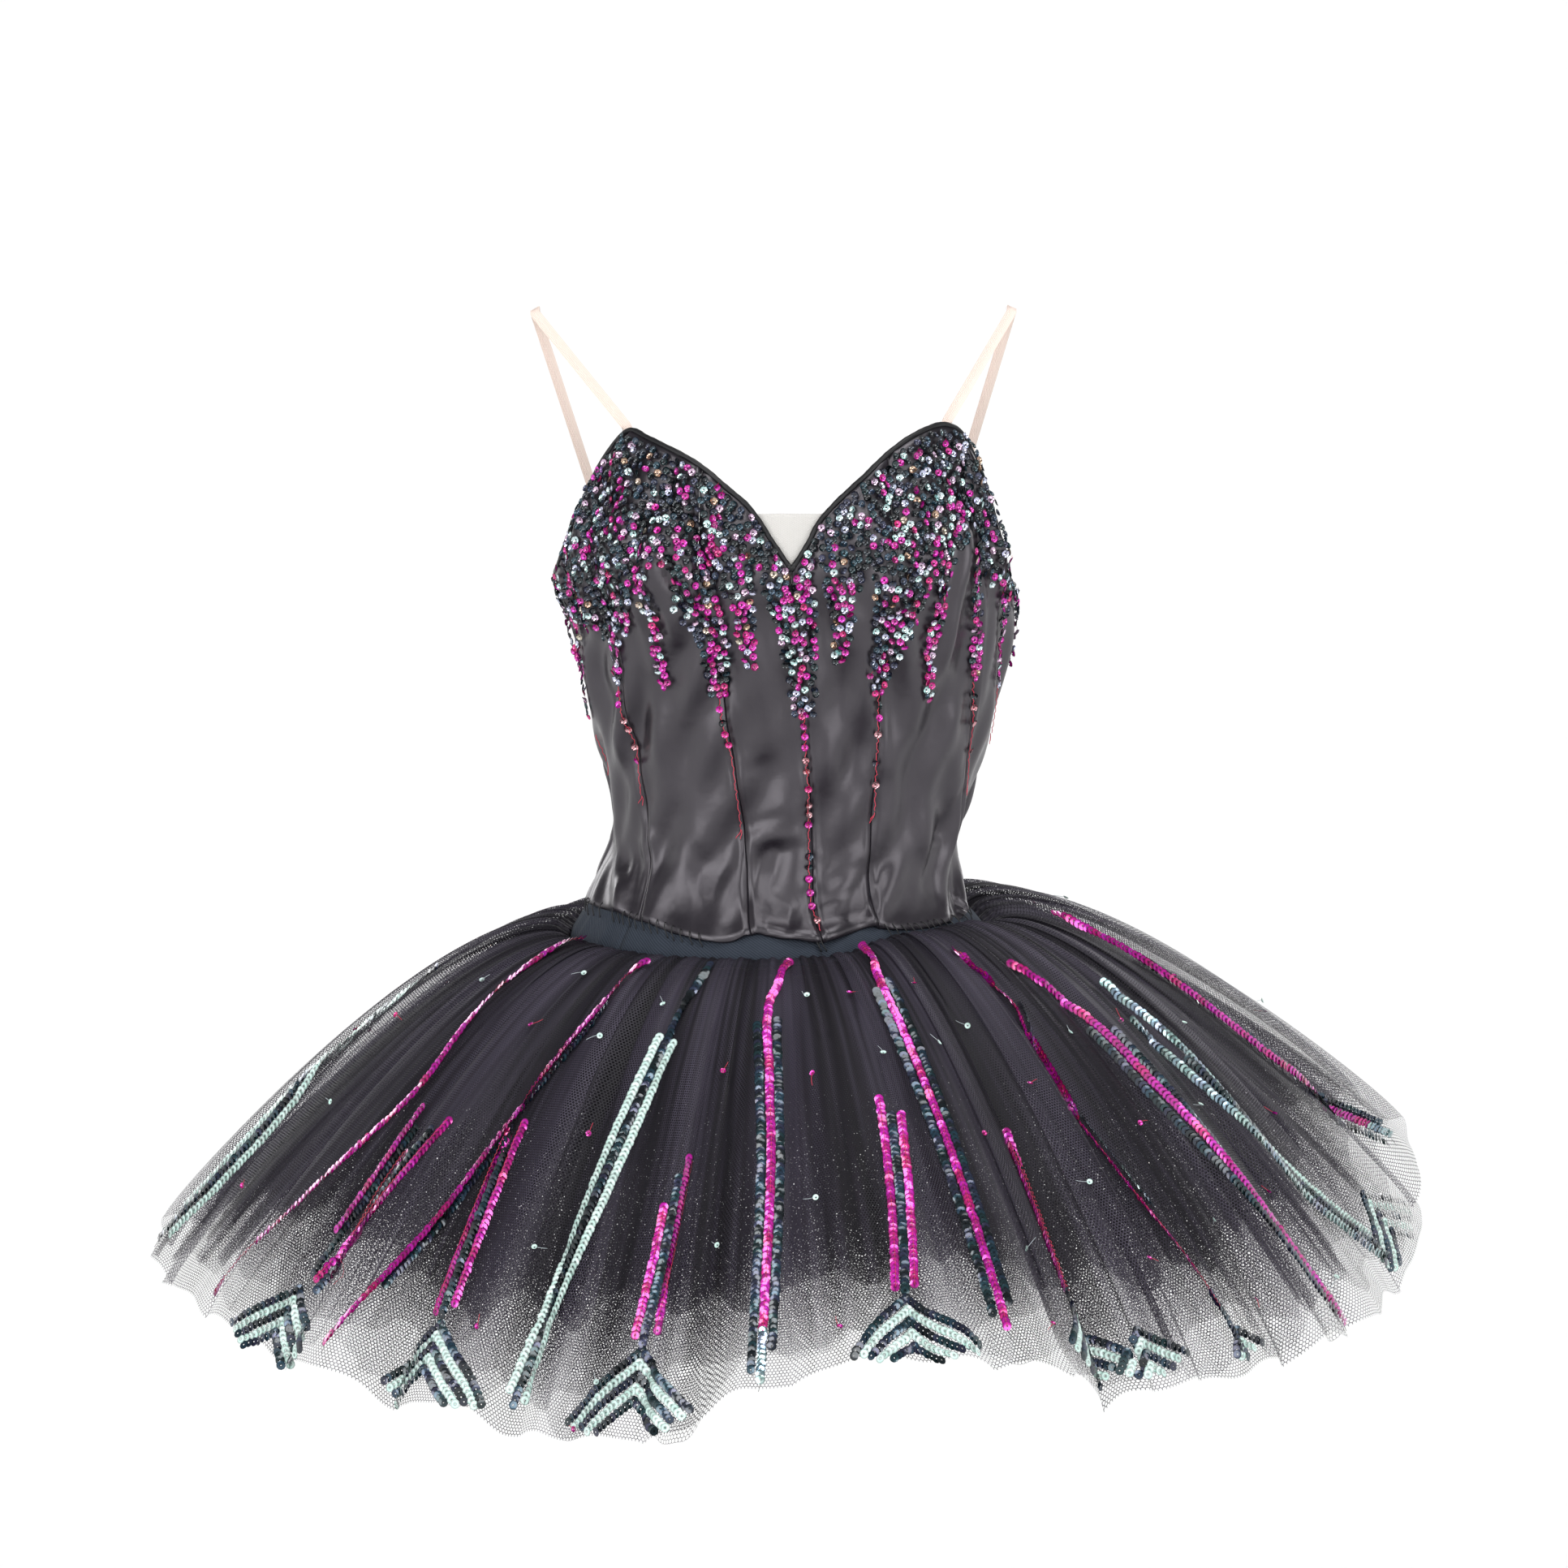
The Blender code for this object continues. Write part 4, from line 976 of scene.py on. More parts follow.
PLEAT_HEIGHT = 0.0034
GATHER_PITCH = 2.5         # degrees between small gathers at the seam
GATHER_HEIGHT = 0.0009
GATHER_FADE = 0.060
GATHER_END = 0.17          # the net lies closer than its mesh up to this reach
RIPPLES = 9                # waves round the skirt
STREAKS = 14               # waves of light and shade round the skirt
HEM_WAVES = 7              # waves of the ragged hem
NET_RIPPLE = 0.0015        # height of the ripples down the skirt
FOLD_TRIES = 900
FOLD_REACHES = ([0.10, 0.18, 0.27, 0.60], [0.30, 0.25, 0.25, 0.20])   # how far they run, chance of each
FOLD_CLEARANCE = 2.3       # degrees that folds of the top layer keep from the lines of sequins

# lines of sequins on the top layer: angle and reach of points along each
LINE_PATHS = {
    "a": [(-91.0, 0.083), (-84.5, 0.150), (-79.5, 0.203), (-79.0, 0.270), (-80.2, 0.329)],
    "b": [(-57.0, 0.006), (-54.0, 0.113), (-53.5, 0.166), (-57.0, 0.249), (-60.2, 0.300), (-61.5, 0.327)],
    "b2": [(-50.8, 0.166), (-51.0, 0.228), (-51.8, 0.290)],
    "c": [(-45.5, 0.170), (-47.5, 0.230), (-49.8, 0.296)],
    "d": [(-31.0, 0.019), (-37.5, 0.150), (-40.8, 0.240), (-44.0, 0.327)],
    "e": [(-36.2, 0.154), (-35.2, 0.220), (-34.6, 0.288)],
    "f": [(-15.8, 0.016), (-18.8, 0.087), (-22.5, 0.212), (-25.2, 0.323)],
    "g": [(-12.0, 0.167), (-12.2, 0.231), (-12.8, 0.287)],
    "h": [(1.8, 0.017), (-1.8, 0.062), (-1.4, 0.130), (-1.0, 0.198), (-1.5, 0.336)],
    "i": [(13.5, 0.156), (12.0, 0.230), (10.5, 0.299)],
    "j": [(22.2, 0.005), (19.5, 0.048), (19.0, 0.120), (19.0, 0.194), (18.8, 0.319)],
    "k": [(30.5, 0.164), (29.8, 0.225), (29.0, 0.279)],
    "l": [(40.2, 0.032), (45.2, 0.075), (43.2, 0.123), (45.5, 0.200), (48.0, 0.272), (49.2, 0.333)],
    "m": [(51.8, 0.052), (58.2, 0.100), (60.0, 0.165), (62.0, 0.232), (64.5, 0.299), (67.2, 0.335)],
    "n": [(70.5, 0.083), (72.8, 0.144), (75.0, 0.204), (79.5, 0.269), (86.5, 0.321)],
    "o": [(99.0, 0.034), (96.0, 0.076), (95.5, 0.133), (97.0, 0.196), (101.0, 0.254), (104.0, 0.309)],
}


def smooth_line(points, count):
    """Angle and reach of this many places along a line."""
    return read_edge(points, np.linspace(0.0, len(points) - 1.0, count))


def line_gap(centre, far, angle, reach):
    """Degrees between a straight fold that runs this far and a line of sequins."""
    steps = np.linspace(0.0, far, 12)
    gaps = np.abs(np.interp(steps, reach, angle) - centre)
    return np.min(gaps[steps >= reach[0] - 0.01], initial=99.0)


class Gathers:
    """Folds, gathers and ripples of one layer of net."""

    def __init__(self, layer, lines=()):
        dice = np.random.default_rng(layer.seed)
        self.layer = layer
        folds = []
        for _ in range(FOLD_TRIES):
            centre = dice.uniform(-178.0, 178.0)
            width = dice.uniform(0.85, 1.55)
            far = dice.choice(FOLD_REACHES[0], p=FOLD_REACHES[1])
            strength = dice.uniform(0.45, 1.0)
            height = dice.uniform(0.0010, 0.0019)
            side = dice.choice([-1.0, 1.0])
            near_line = any(line_gap(centre, far, *line) < FOLD_CLEARANCE for line in lines)
            near_fold = any(abs(centre - other[0]) < 1.5 * (width + other[1]) for other in folds)
            if not near_line and not near_fold and len(folds) < layer.folds:
                folds.append((centre, width, far, strength, height, side))
        self.folds = np.array(folds)
        self.phase = dice.uniform(0.0, 2 * np.pi, 8)
        self.outermost = layer.node == "net_overlay"
        most, size = (58, 0.75) if self.outermost else (120, 1.0)
        self.ripples = np.column_stack([
            dice.integers(20, most, RIPPLES), dice.uniform(0.0, 2 * np.pi, RIPPLES),
            size * dice.uniform(0.4, 1.0, RIPPLES), dice.uniform(-2.5, 2.5, RIPPLES)])
        self.streaks = np.column_stack([
            dice.integers(70, 420, STREAKS), dice.uniform(0.0, 2 * np.pi, STREAKS),
            dice.uniform(-9.0, 9.0, STREAKS)])
        much = 1.0 if self.outermost else 2.1
        self.hem = np.column_stack([
            dice.integers(7, 60, HEM_WAVES), dice.uniform(0.0, 2 * np.pi, HEM_WAVES),
            dice.uniform(0.001, 0.0028, HEM_WAVES) * much])

    def place(self, angle, reach):
        """Where a point of the cloth lies: its angle, its reach and its lift off the smooth surface."""
        angle, reach = np.broadcast_arrays(np.asarray(angle, float), np.asarray(reach, float))
        turn, lift = np.zeros(angle.shape), np.zeros(angle.shape)
        for centre, width, far, strength, height, side in self.folds:
            x = (angle - centre) / width
            fade = np.clip((far - reach) / (0.55 * far), 0.0, 1.0)
            much = strength * fade * fade * (3 - 2 * fade)
            turn -= much * width * 1.9 * x * np.exp(-x * x)
            lift -= much * height * 1.6 * side * x * np.exp(-x * x / 2)
        around = np.radians(angle)
        gathers = np.sin(360.0 / GATHER_PITCH * around + 1.5 * np.sin(11 * around + self.phase[0]))
        gathers += 0.5 * np.sin(97 * around + self.phase[1])
        lift += GATHER_HEIGHT * gathers * np.exp(-reach / GATHER_FADE)
        share = np.clip(reach / SKIRT_REACH, 0.0, 1.0)
        for number, phase, much, drift in self.ripples:
            lift += NET_RIPPLE * much * share ** 0.7 * np.sin(number * around + phase + drift * share)
        lift += PLEAT_HEIGHT * self.pleats(around) * share ** 0.6
        for side in (1.0, -1.0):
            past = (side * angle - (180.0 - LAP_DEGREES)) / LAP_DEGREES
            lift += side * LAP_LIFT * np.clip(past, 0.0, 1.0)
        if not self.outermost:
            lift -= INNER_DROP * np.sin(np.pi * share ** 0.7)
        ragged = np.zeros(angle.shape)
        for number, phase, much in self.hem:
            ragged += much * np.sin(number * around + phase)
        if self.outermost:
            centre, width, much = HEM_DROP
            ragged += much * np.exp(-((angle - centre) / width) ** 2)
        return angle + turn, reach + ragged * np.clip(reach / self.layer.reach, 0.0, 1.0) ** 6, lift

    @staticmethod
    def pleats(around):
        """Ridges (1) and hollows (-1) of the broad pleats, the same in every layer, at angles in radians."""
        return np.sin(PLEATS * around + 2.0 * np.sin(3 * around + 0.7) + 1.1 * np.sin(8 * around + 2.9))

    def shade(self, angle, reach):
        """Painted light and shade of the net: 1 on ridges painted as if they catch the light, 0 where folds
        lie deep in painted shade, and painted darker near the seam.
        """
        around = np.radians(angle)
        deep = np.zeros(angle.shape)
        for centre, width, far, strength, _, _ in self.folds:
            fade = np.clip((far - reach) / (0.55 * far), 0.0, 1.0)
            deep += strength * fade * np.exp(-((angle - centre) / (0.45 * width)) ** 2)
        fine = np.zeros(angle.shape)
        for number, phase, turn in self.streaks:
            fine += np.sin(number * around + phase + turn * reach / SKIRT_REACH)
        near_seam = np.clip(1.0 - reach / 0.05, 0.0, 1.0)
        light = 0.42 + 0.42 * self.pleats(around) + 0.075 * fine - 0.5 * deep
        return np.clip(light * (1.0 - 0.5 * near_seam), 0.0, 1.0)

    def thinning(self, angle, reach):
        """How far the net is thinned in streaks towards its hem, where fewer folds lie together."""
        around = np.radians(angle)
        streaks = sum(np.sin(number * around + phase) for number, phase in ((37, 0.3), (61, 1.9), (103, 4.0)))
        start = self.layer.reach * (self.layer.thin_from + 0.030 * streaks)
        return 1.0 - self.layer.thin * np.clip((reach - start) / (self.layer.reach - start + 0.004), 0.0, 1.0)

    def point(self, angle, reach, lift=0.0):
        turned, far, rise = self.place(angle, reach)
        number = [layer.name for layer in NET_LAYERS].index(self.layer.name)
        return net_point(turned, far, number, rise + lift)

    def down(self, angle, reach):
        """Unit vector down the net."""
        return unit(self.point(angle, reach + 0.002) - self.point(angle, reach))

    def normal(self, angle, reach):
        across = self.point(angle + 0.2, reach) - self.point(angle - 0.2, reach)
        down = self.point(angle, reach + 0.001) - self.point(angle, reach - 0.001)
        return unit(np.cross(down, across))


def add_net(layer, gathers):
    """One gathered layer of net as a single surface, with its hexagons in the material."""
    angles = np.linspace(-180.0 - BACK_LAP, 180.0 + BACK_LAP, layer.columns)
    steps = np.linspace(0.0, 1.0, layer.rows)
    reach = layer.reach * (0.35 * steps + 0.65 * steps ** 1.6)
    grid_angle, grid_reach = np.meshgrid(angles, reach, indexing="ij")
    points = gathers.point(grid_angle, grid_reach)
    material = net_material(layer.name, layer.plies, layer.half_thread, layer.tone)
    faces = grid_faces(layer.columns, layer.rows, turned=True)
    piece = new_object(layer.name, points, [faces], material)
    set_uv(piece, np.stack([(grid_angle / 360.0) * layer.width, grid_reach], -1))
    gather = 1.0 + 1.6 * np.clip((GATHER_END - grid_reach) / GATHER_END, 0.0, 1.0) ** 1.3
    gather *= gathers.thinning(grid_angle, grid_reach)
    shade = gathers.shade(grid_angle, grid_reach)
    # the threads are also drawn thicker where the painted shade is deeper
    set_number(piece, "gather", gather * (1.12 - 0.24 * shade))
    set_number(piece, "shade", shade)
    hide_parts(layer.node)


# ---------------------------------------------------------------- sequins

FLAT_SEQUIN = 0.00285      # radius of the flat sequins on the net
CUP_SEQUIN = 0.00238       # radius of the cupped sequins on the bodice
SINGLE_SEQUIN = 0.00185
ROW_STEP = 0.0056          # between rows of a line
SEQUIN_STEP = 0.0031       # along a row
SEQUIN_TILT = 24.0         # degrees that each one leans on the next
# painted shade at each sequin's hole and rim, with a painted highlight on the ring between them
PAINTED_RING_SHADES = ([0.0, 0.25, 0.60, 0.85, 1.0], [0.30, 0.45, 1.20, 1.00, 0.45])   # share of the radius, shade
DARK = "dark"
PINK = "pink"
WHITE = "white"
GLINT = "glint"


def disc_template(radius, hole, rings, sides):
    """Points and quads of a pierced disc; rings give (share of the radius, height)."""
    turn = 2 * np.pi * np.arange(sides) / sides
    points = []
    for share, height in [(hole / radius, rings[0][1])] + list(rings):
        ring = np.stack([np.cos(turn) * radius * share, np.sin(turn) * radius * share,
                         np.full(sides, height)], -1)
        points.append(ring)
    quads = []
    for level in range(len(rings)):
        k = np.arange(sides)
        a, b = level * sides + k, level * sides + (k + 1) % sides
        quads.append(np.stack([a, a + sides, b + sides, b], -1))
    return np.concatenate(points), np.concatenate(quads)


def add_discs(name, template, centres, first, second, normals, colours, material, slot, smooth=False):
    """One piece of many sequins; first and second are each one's unit vectors in its plane."""
    points, quads = template
    placed = (centres[:, None] + first[:, None] * points[None, :, :1] + second[:, None] * points[None, :, 1:2]
              + normals[:, None] * points[None, :, 2:])
    faces = (quads[None] + (np.arange(len(centres)) * len(points))[:, None, None]).reshape(-1, 4)
    piece = new_object(name, placed, [faces], material, smooth=smooth)
    radii = np.hypot(points[:, 0], points[:, 1]) / np.hypot(points[:, 0], points[:, 1]).max()
    # painted shade and highlight in rings across each sequin, multiplied into its film colour
    shade = np.interp(radii, *PAINTED_RING_SHADES)
    shaded = np.clip(colours[:, None] * shade[None, :, None], 0.0, 1.0)
    set_colour(piece, "film", np.concatenate([shaded, np.ones(shaded.shape[:2] + (1,))], -1))


def lean(first, second, normal, about_first, about_second):
    """Turn a frame by small angles in radians about its first and second vectors."""
    a, b = about_first[:, None], about_second[:, None]
    normal = unit(normal + second * np.tan(a) + first * np.tan(b))
    first = square_to(normal, first)
    return first, np.cross(normal, first), normal


def smooth_noise(dice, count):
    """Smooth random number along a row of sequins, about -1 to 1."""
    x = np.arange(count) * FILM_STEP
    total = np.zeros(count)
    for _ in range(FILM_WAVES):
        total += dice.uniform(0.3, 1.0) * np.sin(x * dice.uniform(60.0, 420.0) + dice.uniform(0, 2 * np.pi))
    return total / 1.8


FILM_STEP = 0.003          # how far the colour goes from one sequin to the next
FILM_WAVES = 5
# colours of each kind of film, as neighbours along a row
FILM = {
    DARK: np.array([
        (0.010, 0.021, 0.028), (0.020, 0.052, 0.064), (0.024, 0.054, 0.095),
        (0.044, 0.038, 0.088), (0.022, 0.026, 0.036), (0.007, 0.011, 0.017)]),
    PINK: np.array([
        (0.820, 0.008, 0.400), (0.930, 0.012, 0.500), (0.660, 0.005, 0.300), (0.860, 0.012, 0.230)]),
    WHITE: np.array([
        (0.800, 0.840, 0.815), (0.850, 0.870, 0.850), (0.770, 0.815, 0.800), (0.860, 0.870, 0.865)]),
    GLINT: np.array([
        (0.300, 0.400, 0.420), (0.560, 0.600, 0.600), (0.240, 0.300, 0.420), (0.400, 0.340, 0.480)]),
}


def film_colours(kind, dice, count):
    """Colours along a row: they drift as iridescent film does."""
    table = FILM[kind]
    place = np.clip(smooth_noise(dice, count) * 0.5 + 0.5, 0.0, 0.999) * (len(table) - 1)
    low = place.astype(int)
    share = (place - low)[:, None]
    colours = table[low] * (1 - share) + table[np.minimum(low + 1, len(table) - 1)] * share
    return np.clip(colours * dice.uniform(0.75, 1.25, (count, 1)), 0.0, 1.0)


def walk(gathers, path, step, start=None, end=None):
    """Evenly spaced places along a line on the net, as angles and reaches."""
    angle, reach = smooth_line(path, 400)
    points = gathers.point(angle, reach)
    length = lengths_along(points)
    low = 0.0 if start is None else float(np.interp(start, reach, length))
    high = length[-1] if end is None else float(np.interp(end, reach, length))
    stops = np.arange(low, high, step)
    return np.interp(stops, length, angle), np.interp(stops, length, reach)


def shift(gathers, angle, reach, vector):
    """Angle and reach of a point of the net that lies off another by a vector in its surface."""
    here = gathers.point(angle, reach)
    across = (gathers.point(angle + 0.3, reach) - here) / 0.3
    down = (gathers.point(angle, reach + 0.002) - here) / 0.002
    aa, ab, bb = (np.sum(p * q, -1) for p, q in ((across, across), (across, down), (down, down)))
    pa, pb = np.sum(across * vector, -1), np.sum(down * vector, -1)
    det = aa * bb - ab * ab
    return angle + (pa * bb - pb * ab) / det, reach + (pb * aa - pa * ab) / det


# offset: rows from the middle of the line; edge: degrees that its sequins are turned about the row
Row = namedtuple("Row", "kind offset start end edge", defaults=(0.0,))
LINES = [
    ("a", [Row(WHITE, -1, 0.120, 0.326), Row(DARK, 0, 0.083, None), Row(WHITE, 1, 0.100, 0.322)]),
    ("b", [Row(PINK, 0, None, 0.200, -26.0), Row(PINK, 0, 0.200, None, -14.0)]),
    ("b2", [Row(PINK, 0, None, 0.260, -16.0), Row(DARK, 0.8, 0.180, None, -10.0)]),
    ("c", [Row(PINK, -1, 0.200, 0.290), Row(DARK, 0, 0.180, None), Row(PINK, 1, None, 0.288)]),
    ("d", [Row(PINK, 0, None, 0.140, -26.0), Row(PINK, 0, 0.140, None, -42.0),
           Row(DARK, 0.7, 0.060, 0.280, -20.0)]),
    ("e", [Row(PINK, -1, 0.160, 0.283), Row(DARK, 0, 0.175, None), Row(PINK, 1, None, 0.278)]),
    ("f", [Row(WHITE, -1, 0.080, 0.318), Row(DARK, 0, None, None), Row(WHITE, 1, 0.083, 0.321)]),
    ("g", [Row(PINK, -1, 0.200, 0.284), Row(DARK, 0, 0.180, None), Row(PINK, 1, None, 0.279)]),
    ("h", [Row(DARK, -1, 0.080, 0.330), Row(PINK, 0, None, 0.305), Row(DARK, 1, 0.075, 0.318),
           Row(GLINT, 0, 0.305, None)]),
    ("i", [Row(PINK, -1, None, 0.297), Row(DARK, 0, 0.170, None), Row(PINK, 1, 0.170, 0.294)]),
    ("j", [Row(DARK, -1, 0.060, 0.310), Row(PINK, 0, None, None), Row(DARK, 1, 0.050, 0.306)]),
    ("k", [Row(PINK, -1, 0.175, 0.276), Row(DARK, 0, 0.180, None), Row(PINK, 1, None, 0.272)]),
    ("l", [Row(PINK, 0, None, 0.300, 58.0), Row(GLINT, 0.7, 0.080, 0.230, 60.0),
           Row(DARK, 0, 0.290, None, 20.0)]),
    ("m", [Row(DARK, -1, 0.110, 0.325, -20.0), Row(PINK, 0, None, None, -32.0),
           Row(DARK, 1, 0.120, 0.325, -20.0)]),
    ("n", [Row(GLINT, 1, None, 0.215, -36.0), Row(GLINT, -1, 0.110, None, -30.0),
           Row(DARK, 0, 0.150, None, -30.0), Row(WHITE, 1, 0.215, 0.310, -36.0)]),
    ("o", [Row(DARK, -1, 0.090, None), Row(PINK, 0, None, 0.290, -46.0), Row(DARK, 1, 0.090, 0.300, -46.0),
           Row(GLINT, 0, 0.290, None, -46.0)]),
]
# chevrons: angle and reach of the point, how far the arms run down, degrees that each arm turns out
CHEVRONS = [
    (-51.5, 0.300, 0.040, 40.0, 46.0), (-34.3, 0.291, 0.044, 38.0, 46.0), (-12.75, 0.290, 0.046, 44.0, 43.0),
    (10.5, 0.302, 0.036, 42.0, 50.0), (29.3, 0.282, 0.040, 42.0, 48.0), (36.5, 0.304, 0.024, 40.0, 52.0),
    (49.25, 0.316, 0.016, 30.0, 44.0), (89.75, 0.288, 0.040, 44.0, 46.0),
]
CHEVRON_ROWS = [DARK, WHITE, DARK, WHITE, DARK]
CHEVRON_STEP = 0.0072      # down the net from row to row
CHEVRON_SHORTER = 0.72     # each row's arms end this share of a step higher
LOW_LIFT = 0.0012          # of the sequins above the net: side rows and pale ones
MIDDLE_LIFT = 0.0017       # middle rows of a line
ARM_LIFT = 0.0016          # dark rows of a chevron
TURNED_LIFT = 0.0016       # further for rows turned towards the front


class Beading:
    """Sequins of one garment, gathered by kind before they become pieces."""

    def __init__(self):
        self.discs = {kind: [] for kind in FILM}
        self.dice = np.random.default_rng(5)

    def add_row(self, gathers, angle, reach, kind, height, edge=0.0):
        """A row of overlapping sequins along places on the net."""
        count = len(angle)
        if count < 2:
            return
        dice = self.dice
        points = gathers.point(angle, reach)
        normals = gathers.normal(angle, reach)
        along = square_to(normals, unit(np.gradient(points, axis=0)))
        across = np.cross(normals, along)
        points = points + normals * (height + dice.uniform(0.0, 0.0003, (count, 1)))
        points = points + across * dice.normal(0.0, 0.00018, (count, 1))
        leaning = np.radians(SEQUIN_TILT + dice.normal(0.0, 4.0, count))
        turned = np.radians(edge + dice.normal(0.0, 5.0, count))
        first, second, facing = lean(along, across, normals, turned, leaning)
        self.discs[kind].append((points, first, second, facing, film_colours(kind, dice, count)))

    def add_line(self, gathers, path, rows):
        for row in rows:
            lift = TURNED_LIFT * math.sin(math.radians(max(-row.edge, 0.0)))
            angle, reach = walk(gathers, path, SEQUIN_STEP, row.start, row.end)
            if row.offset:
                points = gathers.point(angle, reach)
                along = unit(np.gradient(points, axis=0))
                across = np.cross(gathers.normal(angle, reach), along)
                angle, reach = shift(gathers, angle, reach, across * row.offset * ROW_STEP)
            height = (LOW_LIFT if row.offset else MIDDLE_LIFT) + lift
            self.add_row(gathers, angle, reach, row.kind, height, row.edge)

    def add_chevron(self, gathers, apex_angle, apex_reach, drop, left_turn, right_turn):
        dice = self.dice
        for number, kind in enumerate(CHEVRON_ROWS):
            fall = drop - number * CHEVRON_STEP * CHEVRON_SHORTER
            if fall < 0.008 or apex_reach + number * CHEVRON_STEP > SKIRT_REACH - 0.006:
                break
            for side, turn in ((-1.0, left_turn), (1.0, right_turn)):
                lean_out = math.radians(turn)
                length = fall / math.cos(lean_out) * dice.uniform(0.95, 1.05)
                count = max(int(length / SEQUIN_STEP), 3)
                angle, reach = np.empty(count), np.empty(count)
                a, r = np.array([apex_angle]), np.array([apex_reach + number * CHEVRON_STEP])
                for k in range(count):
                    angle[k], reach[k] = a[0], r[0]
                    down = gathers.down(a, r)
                    across = unit(gathers.point(a + 0.3, r) - gathers.point(a, r))
                    heading = unit(down * math.cos(lean_out) + across * side * math.sin(lean_out))
                    a, r = shift(gathers, a, r, heading * SEQUIN_STEP)
                self.add_row(gathers, angle, reach, kind, LOW_LIFT if kind == WHITE else ARM_LIFT)

    def build(self, name, template, materials, slot):
        for kind, groups in self.discs.items():
            if groups:
                parts = [np.concatenate(column) for column in zip(*groups)]
                add_discs(name + "_" + kind, template, *parts, materials[kind], slot)


def dress_skirt(gathers, materials, red, black):
    beading = Beading()
    for name, rows in LINES:
        beading.add_line(gathers, LINE_PATHS[name], rows)
    for chevron in CHEVRONS:
        beading.add_chevron(gathers, *chevron)
    template = disc_template(FLAT_SEQUIN, 0.00045, [(0.60, 0.0002), (1.0, 0.0)], 10)
    beading.build("skirt_sequins", template, materials, "net_black")
    add_skirt_threads(gathers, red, black)
    add_single_sequins(gathers, materials, red)


def add_skirt_threads(gathers, red, black):
    """Red thread that holds the pink rows, and short dark tails at the ends of rows."""
    dice = np.random.default_rng(31)
    tubes = []
    for name, rows in LINES:
        for row in rows:
            if row.kind != PINK:
                continue
            angle, reach = walk(gathers, LINE_PATHS[name], SEQUIN_STEP / 2, row.start, row.end)
            points = gathers.point(angle, reach)
            normals = gathers.normal(angle, reach)
            across = np.cross(normals, unit(np.gradient(points, axis=0)))
            wave = np.arange(len(points)) % 2
            lift = (THREAD_LIFT + THREAD_WAVE * wave)[:, None]
            path = points + across * (row.offset * ROW_STEP) + normals * lift
            tubes.append((path, normals, SKIRT_THREAD))
    add_tubes("red_threads", tubes, 4, red)
    tails = []
    for name, rows in LINES:
        for row in rows:
            angle, reach = walk(gathers, LINE_PATHS[name], SEQUIN_STEP, row.start, row.end)
            end = np.array([angle[-1]]), np.array([reach[-1]])
            here, normal, down = (find(*end)[0] for find in (gathers.point, gathers.normal, gathers.down))
            side = np.cross(normal, down)
            steps = np.linspace(0.0, 1.0, 6)[:, None]
            bend = dice.uniform(-0.5, 0.5)
            path = (here + side * row.offset * ROW_STEP + down * steps * dice.uniform(0.004, 0.009)
                    + side * bend * 0.004 * steps ** 2 + normal * 0.0012)
            tails.append((path, normal, TAIL_THREAD))
    add_tubes("thread_tails", tails, 4, black)


# radius of the threads on the skirt and of the dark ends
SKIRT_THREAD = 0.00016
TAIL_THREAD = 0.00014
THREAD_LIFT, THREAD_WAVE = 0.0021, 0.0008    # how far the red thread lies off the net, and rises further
# sequins sewn on one by one in front and at the sides: angle, reach, kind
SINGLE_SEQUINS = [
    (-72.0, 0.120, PINK), (-66.5, 0.190, WHITE), (-69.0, 0.265, PINK), (-62.0, 0.070, WHITE),
    (-43.0, 0.090, PINK), (-41.0, 0.040, WHITE), (-30.0, 0.085, WHITE), (-26.0, 0.150, PINK),
    (-27.5, 0.230, WHITE), (-30.0, 0.290, PINK), (-21.5, 0.055, WHITE), (-8.5, 0.110, PINK),
    (-6.0, 0.235, WHITE), (-16.5, 0.310, WHITE), (-18.0, 0.335, PINK), (4.5, 0.130, PINK),
    (5.5, 0.060, WHITE), (3.8, 0.225, WHITE), (5.0, 0.318, PINK), (12.0, 0.060, PINK),
    (14.5, 0.120, WHITE), (23.5, 0.110, WHITE), (25.5, 0.060, PINK), (24.0, 0.180, PINK),
    (24.5, 0.260, WHITE), (23.5, 0.312, PINK), (33.0, 0.090, WHITE), (37.0, 0.140, PINK),
    (38.0, 0.210, WHITE), (40.0, 0.265, PINK), (51.0, 0.110, WHITE), (52.0, 0.180, PINK),
    (55.0, 0.250, WHITE), (56.5, 0.300, PINK), (66.5, 0.110, PINK), (68.0, 0.180, WHITE),
    (70.5, 0.245, PINK), (72.0, 0.310, WHITE), (83.0, 0.130, WHITE), (85.5, 0.210, PINK),
    (99.0, 0.120, PINK), (111.0, 0.210, WHITE),
]
BACK_SINGLES = 34
BACK_START, BACK_TURN = 118.0, 140.0     # angle where those of the back start, degrees that they cover
SINGLE_LIFT = 0.0022


